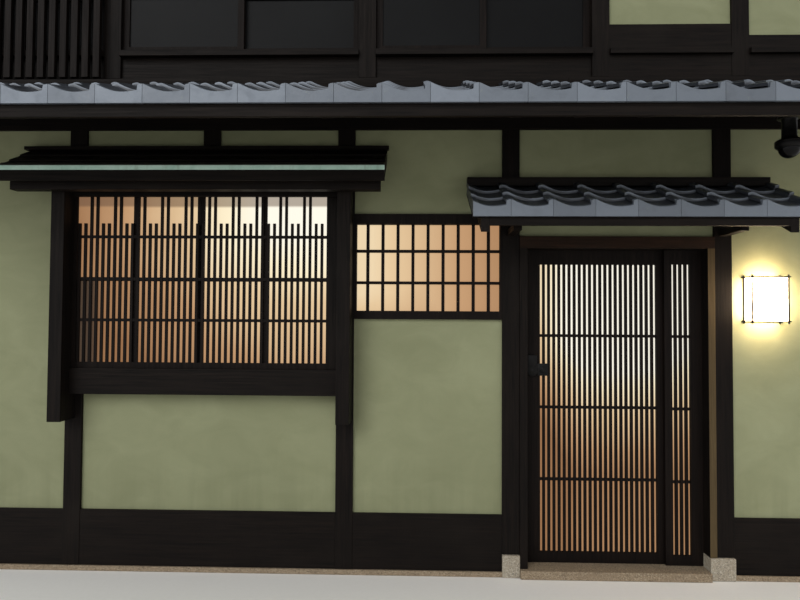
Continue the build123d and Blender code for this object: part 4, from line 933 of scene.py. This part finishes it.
def turned(name, profile, x, y, material):
    """A piece turned about an upright axis from its outline of radius and height, foot to head."""
    angles = [2 * math.pi * i / TURN_STEPS for i in range(TURN_STEPS)]
    build = Build()
    build.sheet([[(x + radius * math.cos(a), y + radius * math.sin(a), z) for a in angles]
                 for radius, z in profile])
    return build.piece(name, material, "dark_metal", smooth=TURN_SMOOTH)


def round_bowl(radius, foot):
    """Outline of the lower half of a ball, from a small flat at its foot."""
    points = []
    for i in range(BOWL_STEPS + 1):
        angle = BOWL_FLAT + (math.pi / 2 - BOWL_FLAT) * i / BOWL_STEPS
        points.append((radius * math.sin(angle), foot + radius * (1 - math.cos(angle))))
    return points


def eave_dome():
    """Smoked glass in a turned housing with a bezel, neck and base plate."""
    low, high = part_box("eave_dome")
    x, y = (low.x + high.x) / 2, (low.y + high.y) / 2
    radius = (high.x - low.x) / 2
    glass = radius * GLASS_SHARE
    bezel = low.z + glass + BEZEL_UP
    bowl = [*round_bowl(glass, low.z), (glass, bezel + GLASS_UP)]
    housing = [*((glass + past, bezel + up) for past, up in RIM),
               *((radius + past, bezel + up) for past, up in BEZEL),
               *((across, bezel + up) for across, up in NECK),
               *((across, high.z + up) for across, up in BASE_PLATE)]
    for name, outline, material in (("dome_glass", bowl, DOME_GLASS),
                                    ("dome_housing", housing, METAL)):
        piece = turned(name, outline, x, y, material)
        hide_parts("eave_dome")


# The door lock

CASE_WIDE, CASE_FOOT_ROUND, CASE_HEAD_ROUND = 0.062, 0.026, 0.006
COVER_IN, COVER_RISE = 0.008, 0.056
PLATE_HIGH, PLATE_GAP, PLATE_RISE, PLATE_ROUND = 0.078, 0.0004, 0.002, 0.005
GRIP_WIDE, GRIP_HIGH, SMALL_ROUND = 0.0045, 0.0135, 0.003
KEY_RISE = 0.030
SCREW_IN, SCREW_RISE = 0.008, 0.010
# How far behind the lock's front a plate's face lies, and how far its front edge is eased
CASE_FACE, CASE_EASE = 0.0015, 0.004
PLATE_FACE, PLATE_EASE = 0.012, 0.002
# Thin plates and discs: where their back and face lie behind the lock's front, and the easing
COVER_DEPTHS = (0.003, 0.0, 0.001)
GRIP_DEPTHS = (0.004, 0.0, 0.0012)
KNOB_RING, KNOB_RING_DEPTHS = 0.0205, (0.013, 0.008, 0.002)
KNOB, KNOB_DEPTHS = 0.0150, (0.009, 0.003, 0.002)
KEY_RING, KEY_RING_DEPTHS = 0.0125, (0.001, 0.0, 0.0006)
SCREW, SCREW_DEPTHS = 0.0032, (0.013, 0.0105, 0.001)
# An eased edge is a little rounded: it turns at this share of the easing
EASE_TURN = 0.3
CORNER_STEPS, DISC_STEPS, SCREW_STEPS = 8, 28, 14
LOCK_SMOOTH = 30


def plate_rows(ring, back, face, ease):
    """Rows of a flat plate's outline from back to front, its front edge eased inwards."""
    middle_x = sum(x for x, z in ring) / len(ring)
    middle_z = sum(z for x, z in ring) / len(ring)

    def shrunk(by):
        points = []
        for x, z in ring:
            reach = math.hypot(x - middle_x, z - middle_z)
            share = (reach - by) / reach
            points.append((middle_x + (x - middle_x) * share,
                           middle_z + (z - middle_z) * share))
        return points

    turn = ease * EASE_TURN
    return [[(x, y, z) for x, z in outline]
            for outline, y in ((ring, back), (ring, face + ease),
                               (shrunk(turn), face + turn), (shrunk(ease), face))]


def rounded(x0, x1, z0, z1, foot_round, head_round):
    """An upright rectangle with its lower and upper corners rounded."""
    points = []
    corners = ((x1, z0, -90, foot_round, -1, 1), (x1, z1, 0, head_round, -1, -1),
               (x0, z1, 90, head_round, 1, -1), (x0, z0, 180, foot_round, 1, 1))
    for x, z, start, radius, to_x, to_z in corners:
        for i in range(CORNER_STEPS + 1):
            angle = math.radians(start + 90 * i / CORNER_STEPS)
            points.append((x + to_x * radius + radius * math.cos(angle),
                           z + to_z * radius + radius * math.sin(angle)))
    return points


def door_lock():
    """Tall case with a round foot, a side plate with a turn knob, a key hole and plate screws."""
    low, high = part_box("door_lock")
    back, front = high.y, low.y
    split = low.x + CASE_WIDE
    plate_top = low.z + PLATE_HIGH
    build = Build()

    def thin(ring, depths):
        behind, face, ease = depths
        build.sheet(plate_rows(ring, front + behind, front + face, ease))

    def disc(x, z, radius, depths, steps=DISC_STEPS):
        angles = [2 * math.pi * i / steps for i in range(steps)]
        thin([(x + radius * math.cos(a), z + radius * math.sin(a)) for a in angles], depths)

    case = rounded(low.x, split, low.z, high.z, CASE_FOOT_ROUND, CASE_HEAD_ROUND)
    build.sheet(plate_rows(case, back, front + CASE_FACE, CASE_EASE))
    thin(rounded(low.x + COVER_IN, split - COVER_IN, low.z + COVER_RISE, high.z - COVER_IN,
                 SMALL_ROUND, SMALL_ROUND), COVER_DEPTHS)
    plate = rounded(split + PLATE_GAP, high.x, low.z + PLATE_RISE, plate_top,
                    PLATE_ROUND, PLATE_ROUND)
    build.sheet(plate_rows(plate, back, front + PLATE_FACE, PLATE_EASE))
    x, z = (split + high.x) / 2, low.z + PLATE_HIGH / 2
    disc(x, z, KNOB_RING, KNOB_RING_DEPTHS)
    disc(x, z, KNOB, KNOB_DEPTHS)
    thin(rounded(x - GRIP_WIDE, x + GRIP_WIDE, z - GRIP_HIGH, z + GRIP_HIGH,
                 SMALL_ROUND, SMALL_ROUND), GRIP_DEPTHS)
    disc((low.x + split) / 2, low.z + KEY_RISE, KEY_RING, KEY_RING_DEPTHS)
    for screw_x in (split + SCREW_IN, high.x - SCREW_IN):
        for screw_z in (low.z + SCREW_RISE, plate_top - SCREW_IN):
            disc(screw_x, screw_z, SCREW, SCREW_DEPTHS, SCREW_STEPS)
    piece = build.piece("lock_case", METAL, "dark_metal", "door", smooth=LOCK_SMOOTH)
    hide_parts("door_lock")


# Studio

SKY_COLOUR, SKY_STRENGTH = (0.97, 0.985, 1.0, 1.0), 0.62
WHITE = (1.0, 1.0, 1.0, 1.0)
# Name, strength, and turn and breadth in degrees
SUNS = (("key", 1.3, (62, 0, -28), 35), ("fill", 0.7, (62, 0, 150), 60))
FLOOR_REACH, FLOOR_DROP = 60.0, 0.001


def studio():
    """White surroundings for the eye, glossy and clear rays; a soft even light for the rest."""
    world = bpy.data.worlds.new("studio")
    world.use_nodes = True
    tree = world.node_tree
    tree.nodes.clear()
    output = tree.nodes.new("ShaderNodeOutputWorld")
    light = tree.nodes.new("ShaderNodeBackground")
    seen = tree.nodes.new("ShaderNodeBackground")
    mix = tree.nodes.new("ShaderNodeMixShader")
    path = tree.nodes.new("ShaderNodeLightPath")
    light.inputs["Color"].default_value = SKY_COLOUR
    light.inputs["Strength"].default_value = SKY_STRENGTH
    seen.inputs["Color"].default_value = WHITE
    seen.inputs["Strength"].default_value = 1.0
    total = path.outputs["Is Camera Ray"]
    for ray in ("Is Glossy Ray", "Is Transmission Ray"):
        add = tree.nodes.new("ShaderNodeMath")
        add.operation = "ADD"
        add.use_clamp = True
        tree.links.new(total, add.inputs[0])
        tree.links.new(path.outputs[ray], add.inputs[1])
        total = add.outputs[0]
    tree.links.new(total, mix.inputs[0])
    tree.links.new(light.outputs[0], mix.inputs[1])
    tree.links.new(seen.outputs[0], mix.inputs[2])
    tree.links.new(mix.outputs[0], output.inputs[0])
    bpy.context.scene.world = world
    for name, energy, turn, angle in SUNS:
        data = bpy.data.lights.new(name, "SUN")
        data.energy = energy
        data.angle = math.radians(angle)
        lamp = bpy.data.objects.new(name, data)
        lamp.rotation_euler = [math.radians(a) for a in turn]
        bpy.context.scene.collection.objects.link(lamp)


def pale_floor():
    """A pale ground for the pictures, which isn't part of the house."""
    s = Shade("pale_floor")
    grain = s.noise(s.place(), 40.0, 4, 0.6)
    s.surface(Base_Color=s.mix(grain, paint(236, 234, 229), paint(243, 241, 237)), Roughness=0.9)
    mesh = bpy.data.meshes.new("studio_floor")
    corners = [(x * FLOOR_REACH, y * FLOOR_REACH, 0)
               for x, y in ((-1, -1), (1, -1), (1, 1), (-1, 1))]
    mesh.from_pydata(corners, [], [(0, 1, 2, 3)])
    mesh.materials.append(s.material)
    floor = bpy.data.objects.new("studio_floor", mesh)
    floor.location.z = -FLOOR_DROP
    bpy.context.scene.collection.objects.link(floor)


# Dressing of the CAD nodes

# Nodes of the house whose edges are eased: material, slot and the easing's width
EASED = {
    "wall_posts": (POST_WOOD, "dark_timber", 0.0025),
    "head_beams": (BEAM_WOOD, "dark_timber", 0.0025),
    "waist_beams": (BEAM_WOOD, "dark_timber", 0.0025),
    "skirting_boards": (BEAM_WOOD, "dark_timber", 0.0015),
    "upper_wall_timbers": (BEAM_WOOD, "dark_timber", 0.002),
    "bay_posts": (POST_WOOD, "dark_timber", 0.0025),
    "bay_beams": (BEAM_WOOD, "dark_timber", 0.0025),
    "door_frame": (JAMB_WOOD, "dark_timber", 0.002),
    "porch_arms": (SLOPE_WOOD, "dark_timber", 0.002),
    "eave_rafters": (SLOPE_WOOD, "roof_timber", 0.002),
    "eave_purlins": (BEAM_WOOD, "roof_timber", 0.003),
    "eave_fascias": (BEAM_WOOD, "roof_timber", 0.002),
    "main_rafters": (SLOPE_WOOD, "roof_timber", 0.002),
    "front_barge_boards": (SLOPE_WOOD, "roof_timber", 0.003),
    "rear_barge_boards": (SLOPE_WOOD, "roof_timber", 0.003),
    "bay_lattice": (LATTICE_WOOD, "lattice_timber", 0.001),
    "upper_lattice": (LATTICE_WOOD, "lattice_timber", 0.0015),
    "window_grids": (LATTICE_WOOD, "lattice_timber", 0.001),
    "side_panel": (LATTICE_WOOD, "lattice_timber", 0.001),
    "window_sashes": (LATTICE_WOOD, "lattice_timber", 0.001),
    "base_stones": (STONE, "stone", 0.005),
    "door_step": (STEP_STONE, "stone", 0.005),
    "front_and_rear_kerbs": (STEP_STONE, "stone", 0.003),
    "ridge_end_tiles": (TILE, "roof_tile", 0.008),
    "hood_edging": (COPPER, "aged_copper", 0.0006),
    "lantern_frame": (METAL, "dark_metal", 0.001),
    "lantern_shade": (OPAL, "lamp_shade", 0.003),
}
# Nodes that keep their own mesh
PLAIN = {
    "eave_decks": BEAM_WOOD,
    "front_main_deck": BEAM_WOOD,
    "rear_main_deck": BEAM_WOOD,
    "roof_purlins": BEAM_WOOD,
    "floor_joists": SLOPE_WOOD,
    "upper_floor": FLOOR_WOOD,
    "ground_floor": EARTH,
    "side_kerbs": STONE,
    "plaster_panels": WALL,
    "party_walls": WALL,
    "window_panes": PANE,
    "door_pane": PANE,
    "door_tracks": METAL,
}


def dress_nodes():
    """Ease the edges of the nodes that need it, and give the plain ones their materials."""
    for node, (material, slot, width) in EASED.items():
        dressed(node, material, width)
    dressed("door_leaf", LATTICE_WOOD, 0.001, "door")
    for node, material in PLAIN.items():
        mesh = nodes[node].data
        mesh.materials.clear()
        mesh.materials.append(material)


studio()
pale_floor()
dress_nodes()
lower_roofs()
porch_roof()
main_roofs()
main_ridge()
hood_planks()
eave_dome()
door_lock()
